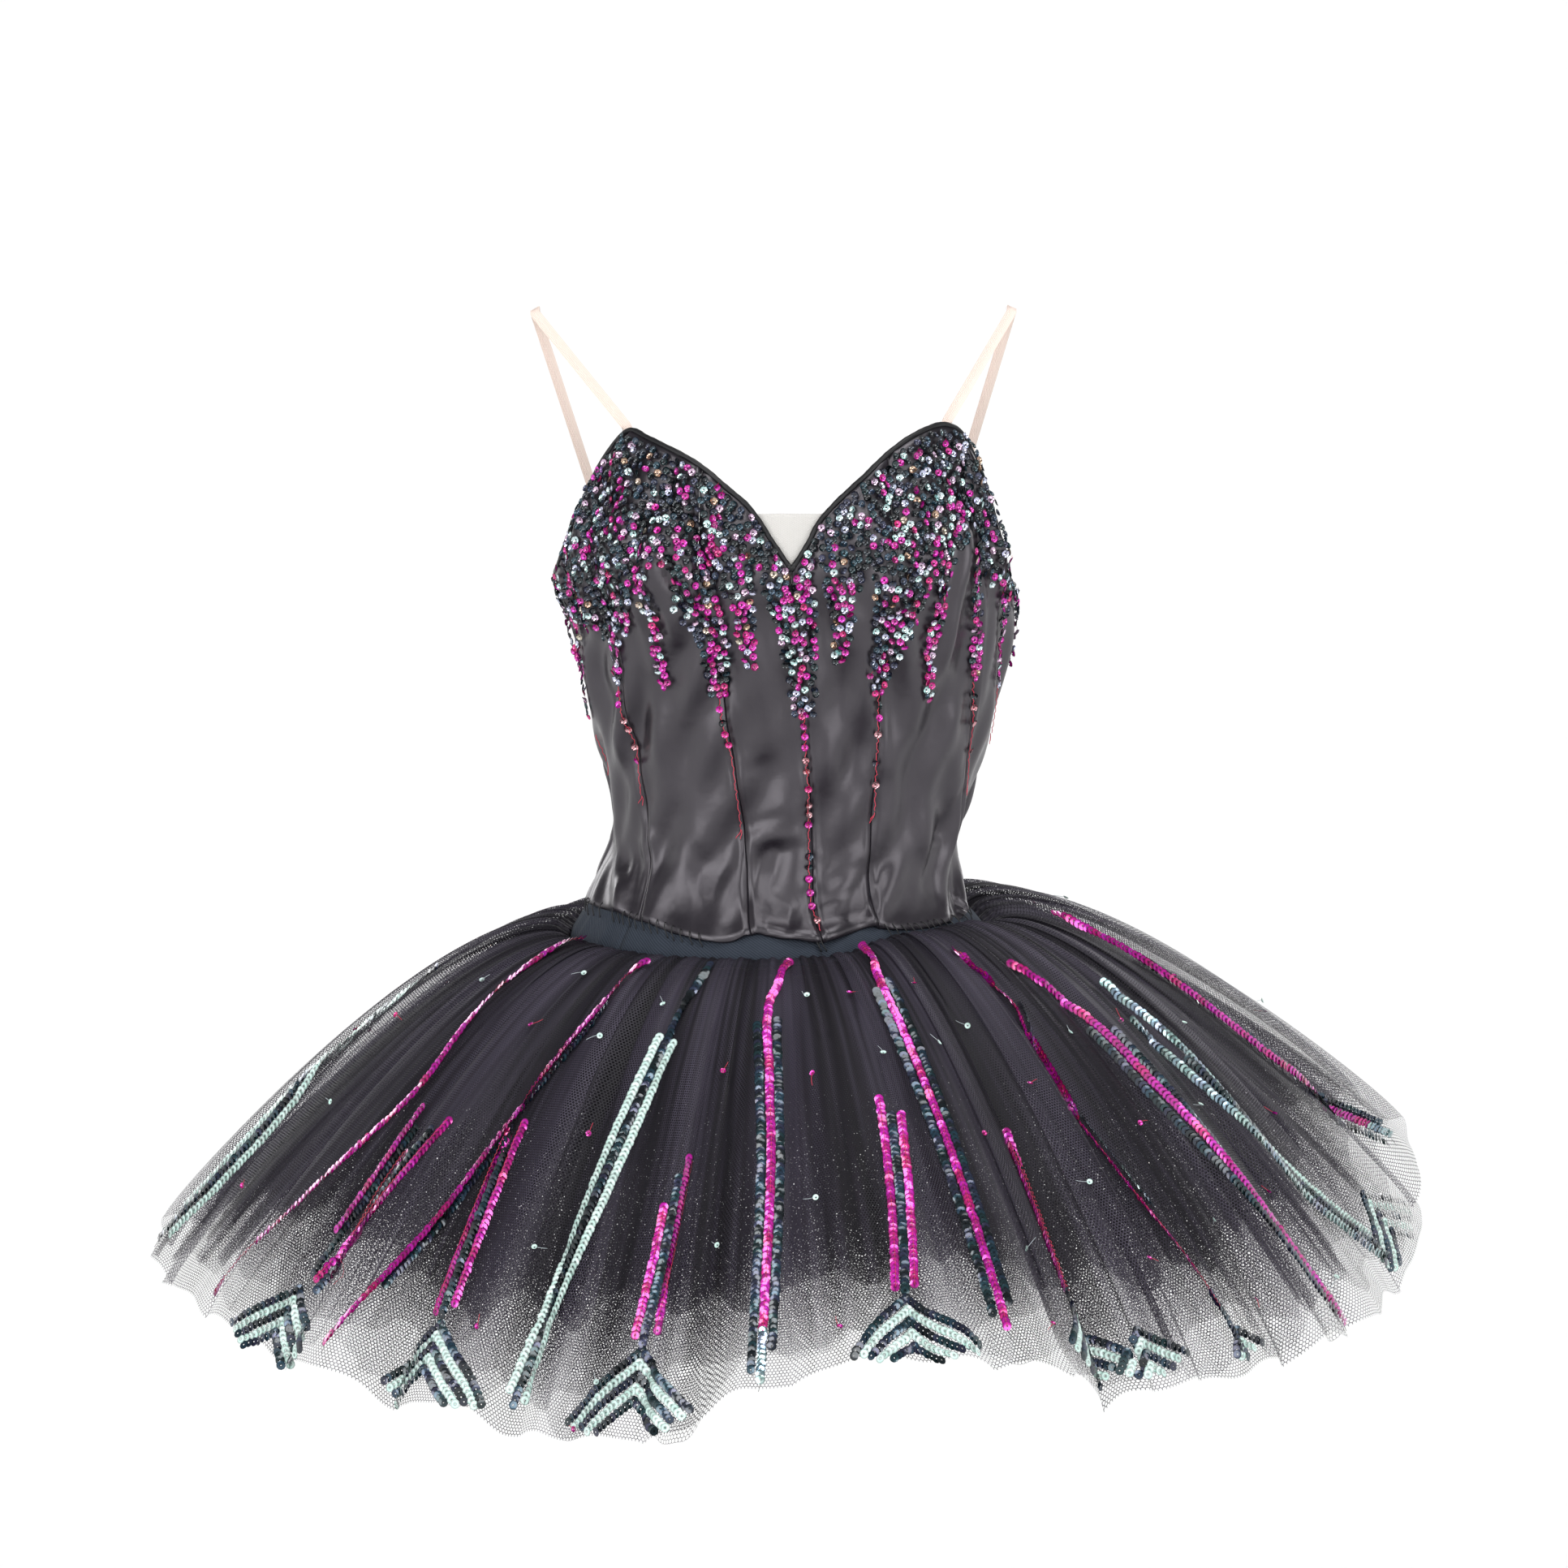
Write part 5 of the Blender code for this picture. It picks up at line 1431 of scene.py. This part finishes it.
def add_single_sequins(gathers, materials, red):
    """Sequins sewn on one by one, each with a short tail of thread."""
    dice = np.random.default_rng(47)
    places = list(SINGLE_SEQUINS)
    kinds = [PINK, WHITE]
    for number in range(BACK_SINGLES):
        angle = BACK_START + BACK_TURN * (number + dice.uniform(0.2, 0.8)) / BACK_SINGLES
        angle = angle - 360.0 if angle > 179.0 else angle
        places.append((angle, dice.uniform(0.06, 0.32), kinds[number % 2]))
    angle = np.array([place[0] for place in places])
    reach = np.array([place[1] for place in places])
    points, normals = gathers.point(angle, reach), gathers.normal(angle, reach)
    down = gathers.down(angle, reach)
    across = np.cross(normals, down)
    tilt = np.radians(dice.uniform(-30.0, 30.0, (2, len(places))))
    first, second, facing = lean(down, across, normals, tilt[0], tilt[1])
    centres = points + normals * SINGLE_LIFT
    template = disc_template(SINGLE_SEQUIN, 0.0004, [(0.5, 0.0002), (0.85, 0.0007), (1.0, 0.0009)], 12)
    tubes = {PINK: [], WHITE: []}
    for kind in kinds:
        chosen = np.array([place[2] == kind for place in places])
        colours = film_colours(kind, dice, int(chosen.sum()))
        parts = [column[chosen] for column in (centres, first, second, facing)]
        add_discs("single_sequins_" + kind, template, *parts, colours, materials[kind], "net_black")
    for number, place in enumerate(places):
        steps = np.linspace(0.0, 1.0, 7)[:, None]
        heading = unit(down[number] * dice.uniform(-1.0, 0.4) + across[number] * dice.uniform(-1.0, 1.0))
        curl = np.cross(normals[number], heading)
        path = (centres[number] + normals[number] * (0.0009 - 0.0020 * steps) + heading * 0.008 * steps
                + curl * dice.uniform(-0.003, 0.003) * steps ** 2)
        tubes[place[2]].append((path, normals[number], SKIRT_THREAD))
    add_tubes("single_tails_red", tubes[PINK], 4, red)
    add_tubes("single_tails_pale", tubes[WHITE], 4, materials["pale_thread"])


# ---------------------------------------------------------------- sequins of the bodice

# lower bound of the closely covered part: angle, height
COVER_LOW = [
    (-96.0, 0.150), (-82.3, 0.144), (-68.1, 0.142), (-52.3, 0.134), (-44.7, 0.145), (-38.2, 0.180),
    (-31.9, 0.188), (-25.3, 0.160), (-17.9, 0.160), (-15.2, 0.174), (-14.0, 0.167), (-8.8, 0.164),
    (-7.8, 0.184), (-4.4, 0.186), (-3.4, 0.174), (4.7, 0.174), (7.8, 0.184), (11.6, 0.184), (13.0, 0.174),
    (18.2, 0.174), (21.4, 0.188), (23.5, 0.162), (35.0, 0.161), (37.4, 0.172), (43.9, 0.176), (46.2, 0.186),
    (53.2, 0.212), (55.0, 0.180), (60.0, 0.172), (78.3, 0.152), (98.0, 0.148),
]
# path: angle and height from its top; wide, narrow: half width there and at its end; singles: places of
# lone sequins below it; thread: where its red thread ends
Drip = namedtuple("Drip", "path wide narrow singles thread")
DRIPS = [
    Drip([(-88.0, 0.150), (-90.0, 0.105)], 0.005, 0.0025, [], None),
    Drip([(-73.9, 0.153), (-77.0, 0.113), (-82.2, 0.068)], 0.0045, 0.0022, [], (-83.5, 0.050)),
    Drip([(-50.6, 0.152), (-53.0, 0.125), (-54.8, 0.107)], 0.0060, 0.0025,
         [(-54.6, 0.100), (-54.4, 0.094), (-54.2, 0.084), (-54.0, 0.078), (-53.7, 0.066), (-53.5, 0.058)],
         (-54.0, 0.036)),
    Drip([(-36.2, 0.182), (-37.1, 0.149), (-37.0, 0.105)], 0.0050, 0.0024, [], None),
    Drip([(-23.1, 0.162), (-20.5, 0.134), (-20.5, 0.102)], 0.0130, 0.0035,
         [(-20.3, 0.096), (-19.6, 0.088), (-18.9, 0.081), (-18.2, 0.074)], (-15.6, 0.020)),
    Drip([(-10.6, 0.167), (-11.6, 0.144), (-10.9, 0.121)], 0.0065, 0.0024, [], None),
    Drip([(0.6, 0.186), (1.7, 0.134), (2.9, 0.092)], 0.0150, 0.0050,
         [(3.0, 0.086), (3.2, 0.079), (3.4, 0.072), (3.8, 0.064), (4.0, 0.058), (4.9, 0.047),
          (5.3, 0.036), (5.6, 0.030), (6.0, 0.024), (7.6, 0.004), (7.9, -0.002), (8.6, -0.010),
          (9.6, -0.018), (10.6, -0.026), (12.6, -0.034)], (12.6, -0.035)),
    Drip([(13.6, 0.174), (13.7, 0.154), (12.2, 0.126)], 0.0085, 0.0026, [], None),
    Drip([(29.3, 0.164), (26.6, 0.143), (23.6, 0.117), (23.5, 0.106)], 0.0150, 0.0050,
         [(23.6, 0.098), (23.8, 0.090), (24.0, 0.080), (24.6, 0.062), (25.6, 0.048)], (27.3, 0.030)),
    Drip([(42.7, 0.174), (40.6, 0.151), (38.6, 0.131), (38.5, 0.100)], 0.0045, 0.0026, [], None),
    Drip([(53.1, 0.186), (55.5, 0.145), (58.3, 0.106)], 0.0048, 0.0026,
         [(59.5, 0.098), (60.6, 0.090), (62.0, 0.080), (65.4, 0.062)], (70.0, 0.041)),
    Drip([(71.0, 0.156), (74.0, 0.128), (76.9, 0.100)], 0.0080, 0.0030, [], (82.2, 0.069)),
    Drip([(88.0, 0.152), (90.0, 0.110)], 0.005, 0.0025, [], None),
]
COVER_SPACING = 0.0034
COVER_CELL = 0.0045
COVER_ENDS = (-95.0, 96.0)
COVER_HEIGHTS = (0.08, 0.262)
COVER_TRIES = 60000
EDGE_MARGIN = 0.0032
PINK_RUNS = 150
PINK_IN_RUN = 0.80         # share of a run's sequins that are pink
PINK_IN_DRIP = 0.60        # the same down the middle of a drip
DRIP_MIDDLE = 0.0034
PINK_ALONE = 0.91          # sequins of a chance above this are pink anywhere
PALE_AMONG_PINK = 0.24
# chances of the pale ones, and the two colours of each: light pink, peach, silver; the silver ones stand
# partly for the garment's silver sequins and partly for painted glints, bright colour in place of highlights
# on dark sequins
PALE_FILMS = [
    (0.70, 0.785, (0.95, 0.52, 0.76), (0.80, 0.66, 0.90)),
    (0.785, 0.81, (0.72, 0.36, 0.26), (0.80, 0.52, 0.44)),
    (0.81, 0.92, (0.84, 0.92, 0.96), (0.92, 0.88, 0.96)),
]
LONE_PALE = (0.80, 0.30, 0.36)
# radius of the threads on the bodice
RED_THREAD = 0.00024
RED_TAIL = 0.00022
STITCH_THREAD = 0.00013
STITCH_LENGTH = 0.0029
DEGREE_LENGTH = 0.0019     # rough length of one degree round the bodice


def top_height(angle):
    """Height of the top edge at an angle."""
    heights = np.full(np.shape(angle), -1.0)
    for edge in (TOP_EDGE_RIGHT, TOP_EDGE_LEFT):
        angles, levels = read_edge(edge, np.linspace(0.0, len(edge) - 1.0, 700))
        order = np.argsort(angles)
        level = np.interp(angle, angles[order], levels[order], left=-1.0, right=-1.0)
        heights = np.maximum(heights, level)
    return heights


def scattered(dice, tries, spacing, inside):
    """Random places on the bodice that keep a distance from each other, as angles and heights."""
    angle = dice.uniform(*COVER_ENDS, tries)
    height = dice.uniform(*COVER_HEIGHTS, tries)
    keep = inside(angle, height)
    angle, height = angle[keep], height[keep]
    points = body_point(angle, height)
    cells = {}
    chosen = []
    for number, point in enumerate(points):
        key = tuple((point // COVER_CELL).astype(int))
        near = [other for i in (-1, 0, 1) for j in (-1, 0, 1) for k in (-1, 0, 1)
                for other in cells.get((key[0] + i, key[1] + j, key[2] + k), ())]
        if all(np.linalg.norm(point - points[other]) > spacing for other in near):
            cells.setdefault(key, []).append(number)
            chosen.append(number)
    return angle[chosen], height[chosen]


def across_drip(drip, angle, height):
    """Distance of places from the middle of a drip, with the heights of its top and bottom."""
    path = np.array(drip.path)
    order = np.argsort(path[:, 1])
    middle = np.interp(height, path[order, 1], path[order, 0])
    return np.abs(np.radians(angle - middle) * girth(height)), path[0, 1], path[-1, 1]


def covered(angle, height):
    """True where sequins lie close together: the cups, and the drips that run down from them."""
    rows = np.array(COVER_LOW)
    low = np.interp(angle, rows[:, 0], rows[:, 1])
    low = low + 0.0025 * np.sin(np.radians(angle) * 57.0) + 0.0015 * np.sin(np.radians(angle) * 131.0)
    inside = height > low
    for drip in DRIPS:
        across, top, bottom = across_drip(drip, angle, height)
        share = np.clip((top - height) / (top - bottom), 0.0, 1.0)
        half = drip.wide + (drip.narrow - drip.wide) * share ** 0.8
        inside |= (across < half) & (height > bottom) & (height < top + 0.004)
    return inside & (height < top_height(angle) - EDGE_MARGIN)


def cup_colours(dice, angle, height):
    """Colours and kinds of the bodice's sequins: 0 dark, 1 pink, 2 light pink, 3 peach, 4 silver (partly
    painted glints).
    """
    count = len(angle)
    radius = girth(height)
    colours = film_colours(DARK, dice, count)[dice.permutation(count)] * dice.uniform(0.6, 1.3, (count, 1))
    kind = np.zeros(count, int)
    chance = dice.uniform(0.0, 1.0, count)
    for _ in range(PINK_RUNS):
        middle, high = dice.uniform(-92.0, 92.0), dice.uniform(0.12, 0.258)
        long = dice.uniform(0.006, 0.030)
        slant = dice.uniform(-0.25, 0.25)
        across = np.radians(angle - middle) * radius + (height - high) * slant
        inside = (np.abs(across) < 0.0018) & (height < high) & (height > high - long)
        kind[inside & (chance < PINK_IN_RUN)] = 1
    kind[(chance > PINK_ALONE) & (kind == 0)] = 1
    for drip in DRIPS:
        across, top, bottom = across_drip(drip, angle, height)
        inside = (across < DRIP_MIDDLE) & (height < top) & (height > bottom - 0.001)
        kind[inside & (chance < PINK_IN_DRIP)] = 1
    # the silver kind is partly painted glints: bright sequins in place of highlights on dark ones
    for number, (low, high, _, _) in enumerate(PALE_FILMS, 2):
        kind[(chance > low) & (chance < high) & (kind == 0)] = number
    kind[(kind == 1) & (dice.uniform(0, 1, count) < PALE_AMONG_PINK)] = 2
    choices = [film_colours(PINK, dice, count)]
    for _, _, one, other in PALE_FILMS:
        choices.append(np.where(dice.uniform(0, 1, (count, 1)) < 0.5, one, other))
    for number, choice in enumerate(choices, 1):
        colours = np.where((kind == number)[:, None], choice, colours)
    return colours, kind


def dress_bodice(materials, red, black):
    dice = np.random.default_rng(63)
    angle, height = scattered(dice, COVER_TRIES, COVER_SPACING, covered)
    colours, kind = cup_colours(dice, angle, height)
    single_angle, single_height = np.array([place for drip in DRIPS for place in drip.singles]).T
    single_kind = dice.choice([1, 1, 2, 0], len(single_angle))
    single_colours = np.where((single_kind == 0)[:, None], film_colours(DARK, dice, len(single_angle)),
                              film_colours(PINK, dice, len(single_angle)))
    single_colours = np.where((single_kind == 2)[:, None], LONE_PALE, single_colours)
    angle, height = np.append(angle, single_angle), np.append(height, single_height)
    colours, kind = np.concatenate([colours, single_colours]), np.append(kind, single_kind)
    count = len(angle)
    lift = dice.uniform(0.0009, 0.0021, count)
    points = satin_place(angle, height, lift)
    normals = satin_normal(angle, height)
    spin = dice.uniform(0.0, 2 * np.pi, count)[:, None]
    up = np.array([0.0, 0.0, 1.0])
    side = unit(np.cross(normals, up[None]))
    other = np.cross(normals, side)
    first = side * np.cos(spin) + other * np.sin(spin)
    second = np.cross(normals, first)
    tilt = np.radians(np.clip(dice.normal(0.0, 15.0, (2, count)), -34.0, 34.0))
    first, second, facing = lean(first, second, normals, tilt[0], tilt[1])
    radii = dice.uniform(0.94, 1.06, count)[:, None]
    template = disc_template(CUP_SEQUIN, 0.00050, [(0.42, 0.00010), (0.80, 0.00055), (1.0, 0.00105)], 8)
    columns = points, first * radii, second * radii, facing, colours
    for name, chosen, film in ((DARK, kind == 0, DARK), (PINK, kind == 1, PINK), ("pale", kind > 1, GLINT)):
        parts = [column[chosen] for column in columns]
        add_discs("bodice_sequins_" + name, template, *parts, materials[film], "satin_black", smooth=True)
    add_bodice_threads(dice, points, normals, kind, red, black)


def satin_place(angle, height, lift):
    """Point on the visible satin, with its folds, lifted off by a length."""
    fade = np.clip((top_height(angle) - height) / EDGE_FADE, 0.0, 1.0)
    rise = satin_relief(angle, height) * fade + lift
    return body_point(angle, height) + body_normal(angle, height) * np.asarray(rise)[..., None]


def satin_normal(angle, height):
    across = satin_place(angle + 0.6, height, 0.0) - satin_place(angle - 0.6, height, 0.0)
    upward = satin_place(angle, height + 0.0012, 0.0) - satin_place(angle, height - 0.0012, 0.0)
    return unit(np.cross(across, upward))


def add_bodice_threads(dice, points, normals, kind, red, black):
    """Red thread down each long drip, and a stitch from each sequin's hole to its edge."""
    tubes = []
    for drip in DRIPS:
        if drip.thread is None:
            continue
        path = np.array([drip.path[-1]] + list(drip.singles) + [drip.thread])
        pieces = np.hypot(np.diff(path[:, 0]) * DEGREE_LENGTH, np.diff(path[:, 1]))
        steps = np.concatenate([[0.0], np.cumsum(pieces)])
        stops = np.arange(0.0, steps[-1], 0.0016)
        angle, height = np.interp(stops, steps, path[:, 0]), np.interp(stops, steps, path[:, 1])
        angle = angle + 0.22 * np.sin(stops * 900.0) + 0.18 * np.sin(stops * 2100.0)
        lift = 0.0009 + 0.0008 * np.abs(np.sin(stops * 650.0))
        tubes.append((satin_place(angle, height, lift), satin_normal(angle, height), RED_THREAD))
        end = path[-1]
        for _ in range(2):
            curl = dice.uniform(-1.2, 1.2)
            share = np.linspace(0.0, 1.0, 6)
            tail_angle = end[0] + curl * share + 0.3 * np.sin(5 * share)
            tail_height = end[1] - dice.uniform(0.003, 0.008) * share
            place = satin_place(tail_angle, tail_height, 0.0009 + 0.0012 * share)
            tubes.append((place, satin_normal(tail_angle, tail_height), RED_TAIL))
    add_tubes("bodice_red_threads", tubes, 5, red)
    stitches = []
    for chosen, colour in ((kind == 1, red), (kind != 1, black)):
        tubes = []
        for number in np.flatnonzero(chosen)[::2]:
            side = unit(np.cross(normals[number], (0.0, 0.0, 1.0)))
            heading = unit(side * dice.uniform(-0.6, 0.6) + np.cross(side, normals[number]))
            steps = np.linspace(0.0, 1.0, 3)[:, None]
            bow = normals[number] * (0.0005 + 0.0016 * steps * (1.25 - steps))
            path = points[number] + heading * steps * STITCH_LENGTH + bow
            tubes.append((path, normals[number], STITCH_THREAD))
        stitches.append((tubes, colour))
    for name, (tubes, colour) in zip(("red", "black"), stitches):
        add_tubes("sequin_stitches_" + name, tubes, 3, colour)


# ---------------------------------------------------------------- stitches, hooks and eyes

WHIP_RANGES = [(-59.0, -20.0, 3.0), (34.0, 62.0, 3.0), (66.0, 176.0, 6.0), (-176.0, -62.0, 6.0)]
TACK_ANGLES = [11.0, 12.2]
# stations of a whip stitch: how far down, share of its slant, share of the way from satin to twill
WHIP_STATIONS = np.array([
    (0.0, 0.0, 0.0), (0.0016, 0.25, 0.0), (0.0042, 0.5, 0.15), (0.0078, 0.9, 0.9), (0.0092, 1.0, 1.0)])
WHIP_THREAD = 0.00035
HOOKS = 8
HOOK_LOW, HOOK_STEP = -0.024, 0.0225     # height of the lowest, metres from one to the next
HOOK_WIRE = 0.0004
HOOK_THREAD = 0.00025
BAR_PLACE = 0.0042         # how far to the side the bar stands


def hem_height(angle):
    return read_table(HEM_EDGE, angle)[..., 1]


def add_whip_stitches(black):
    """Black stitches that hold the bodice's hem on the basque, all round."""
    dice = np.random.default_rng(71)
    angles = [angle for whip_range in WHIP_RANGES for angle in np.arange(*whip_range)] + TACK_ANGLES
    down, slanted, share = WHIP_STATIONS.T
    share = share[:, None]
    tubes = []
    for angle in angles:
        top = float(hem_height(angle)) + dice.uniform(0.0022, 0.0032)
        heights = top - down
        places = angle + dice.uniform(0.6, 1.6) * slanted
        normals = body_normal(places, heights)
        on_satin = body_point(places, heights) + normals * 0.0007
        on_satin[0] -= normals[0] * 0.0012
        on_twill = basque_point(places, heights, 0.0004)
        path = on_satin * (1 - share) + on_twill * share
        path[-1] -= outward(places[-1]) * 0.0008
        tubes.append((path, normals, WHIP_THREAD))
    add_tubes("whip_stitches", tubes, 6, black)


def bent(start, way, places, normal, rises):
    """Points along a direction, each raised off the cloth."""
    return np.array([start + way * place for place in places]) + normal * np.array(rises)[:, None]


def add_hooks(steel, black):
    """Hooks and bars down the centre-back closure."""
    hooks, stitches = [], []
    turn = np.linspace(0.0, np.pi, 9)
    up = np.array([0.0, 0.0, 1.0])
    for number in range(HOOKS):
        spot = np.array([180.0]), np.array([HOOK_LOW + HOOK_STEP * number])
        centre, normal = body_point(*spot)[0], body_normal(*spot)[0]
        side = unit(np.cross(normal, up))
        base = centre + normal * 0.0009
        for shift_up in (-0.0011, 0.0011):
            loop = [base + side * -0.0080 + up * shift_up * 2.0]
            loop += [base + side * (-0.0065 + 0.0090 * t) + up * shift_up for t in (0.0, 0.5, 1.0)]
            hooks.append((np.array(loop), normal, HOOK_WIRE))
        curve = [base + side * (0.0025 + 0.0011 * math.sin(t)) + up * (-0.0011 * math.cos(t)) for t in turn]
        hooks.append((np.array(curve), normal, HOOK_WIRE))
        bar = bent(base + side * BAR_PLACE, up, (-0.0036, -0.0018, 0.0, 0.0018, 0.0036), normal,
                   (0.0, 0.0008, 0.0010, 0.0008, 0.0))
        hooks.append((bar, normal, HOOK_WIRE))
        for place in (-0.0075, -0.0045):
            arch = bent(base + side * place, up, (-0.0030, -0.0015, 0.0, 0.0015, 0.0030), normal,
                        (-0.0006, 0.0005, 0.0008, 0.0005, -0.0006))
            stitches.append((arch, normal, HOOK_THREAD))
        for end in (-0.0034, 0.0034):
            arch = bent(base + up * end + side * BAR_PLACE, side, (-0.0012, 0.0, 0.0012), normal,
                        (-0.0006, 0.0011, -0.0006))
            stitches.append((arch, normal, HOOK_THREAD))
    add_tubes("hooks_and_bars", hooks, 8, steel)
    add_tubes("hook_stitches", stitches, 5, black)


# ---------------------------------------------------------------- stage


def add_floor():
    mesh = bpy.data.meshes.new("floor")
    signs = (-1, -1), (1, -1), (1, 1), (-1, 1)
    corners = [(x * FLOOR_HALF, y * FLOOR_HALF, FLOOR_HEIGHT) for x, y in signs]
    mesh.from_pydata(corners, [], [(0, 1, 2, 3)])
    floor = bpy.data.objects.new("floor", mesh)
    bpy.context.scene.collection.objects.link(floor)
    shader = Shader("floor_paper")
    grain = shader.noise(3.0, 3.0)
    colour = shader.mix(grain, *FLOOR_COLOURS)
    mesh.materials.append(shader.finish(Base_Color=colour, Roughness=0.9, Specular_IOR_Level=0.2))


def add_world(low, high):
    """Studio walls: pale near the floor, darker overhead."""
    world = bpy.data.worlds.new("studio")
    world.use_nodes = True
    tree = world.node_tree
    place = tree.nodes.new("ShaderNodeTexCoord")
    parts = tree.nodes.new("ShaderNodeSeparateXYZ")
    fade = tree.nodes.new("ShaderNodeMapRange")
    fade.interpolation_type = "SMOOTHSTEP"
    for name, value in zip(("From Min", "From Max", "To Min", "To Max"), WALL_FADE + (low, high)):
        fade.inputs[name].default_value = value
    tree.links.new(place.outputs["Generated"], parts.inputs["Vector"])
    tree.links.new(parts.outputs["Z"], fade.inputs["Value"])
    tree.links.new(fade.outputs["Result"], tree.nodes["Background"].inputs["Strength"])
    tree.nodes["Background"].inputs["Color"].default_value = (1.0, 1.0, 1.0, 1.0)
    bpy.context.scene.world = world


def add_sun(name, turn, rise, strength, spread):
    """Large soft lamp far away, which shines from a direction and looks this many degrees wide."""
    data = bpy.data.lights.new(name, "SUN")
    data.energy = strength
    data.angle = math.radians(spread)
    light = bpy.data.objects.new(name, data)
    turn, rise = math.radians(turn), math.radians(rise)
    source = Vector((math.sin(turn) * math.cos(rise), -math.cos(turn) * math.cos(rise), math.sin(rise)))
    light.rotation_euler = (-source).to_track_quat("-Z", "Y").to_euler()
    light.location = source * 3.0
    bpy.context.scene.collection.objects.link(light)


def add_camera():
    data = bpy.data.cameras.new("camera")
    data.lens = CAMERA_LENS
    data.sensor_width = SENSOR_WIDTH
    data.clip_start, data.clip_end = 0.1, 200.0
    camera = bpy.data.objects.new("camera", data)
    rise = math.radians(CAMERA_ELEVATION)
    camera.location = CAMERA_TARGET + Vector((0.0, -math.cos(rise), math.sin(rise))) * CAMERA_DISTANCE
    camera.rotation_euler = (CAMERA_TARGET - camera.location).to_track_quat("-Z", "Y").to_euler()
    bpy.context.scene.collection.objects.link(camera)
    bpy.context.scene.camera = camera


# ---------------------------------------------------------------- the whole tutu

add_camera()
add_floor()
add_world(WALL_LOW, WALL_HIGH)
for lamp in SUNS:
    add_sun(*lamp)
bpy.context.scene.view_settings.view_transform = "Standard"

satin = satin_material()
black_thread = thread_material("black_thread", (0.02, 0.02, 0.022))
red_thread = thread_material("red_thread", (0.75, 0.05, 0.10))
films = {
    DARK: sequin_material("film_dark", 0.22, 0.60, 0.5),
    PINK: sequin_material("film_pink", 0.25, 0.55, 0.7),
    WHITE: sequin_material("film_white", 0.38, 0.0, 0.4),
    GLINT: sequin_material("film_glint", 0.16, 0.85, 0.8),
    "pale_thread": thread_material("pale_thread", (0.60, 0.68, 0.72)),
}

add_bodice(satin)
add_bindings(binding_material())
add_insert(insert_material())
add_placket(satin)
add_basque(twill_material())
ribbon = ribbon_material()
for strap in STRAPS:
    add_strap(strap, ribbon)

line_places = [smooth_line(LINE_PATHS[name], 60) for name, _ in LINES]
top_gathers = Gathers(NET_LAYERS[0], line_places)
add_net(NET_LAYERS[0], top_gathers)
for layer in NET_LAYERS[1:]:
    add_net(layer, Gathers(layer))

dress_skirt(top_gathers, films, red_thread, black_thread)
dress_bodice(films, red_thread, black_thread)
add_whip_stitches(black_thread)
add_hooks(steel_material(), black_thread)
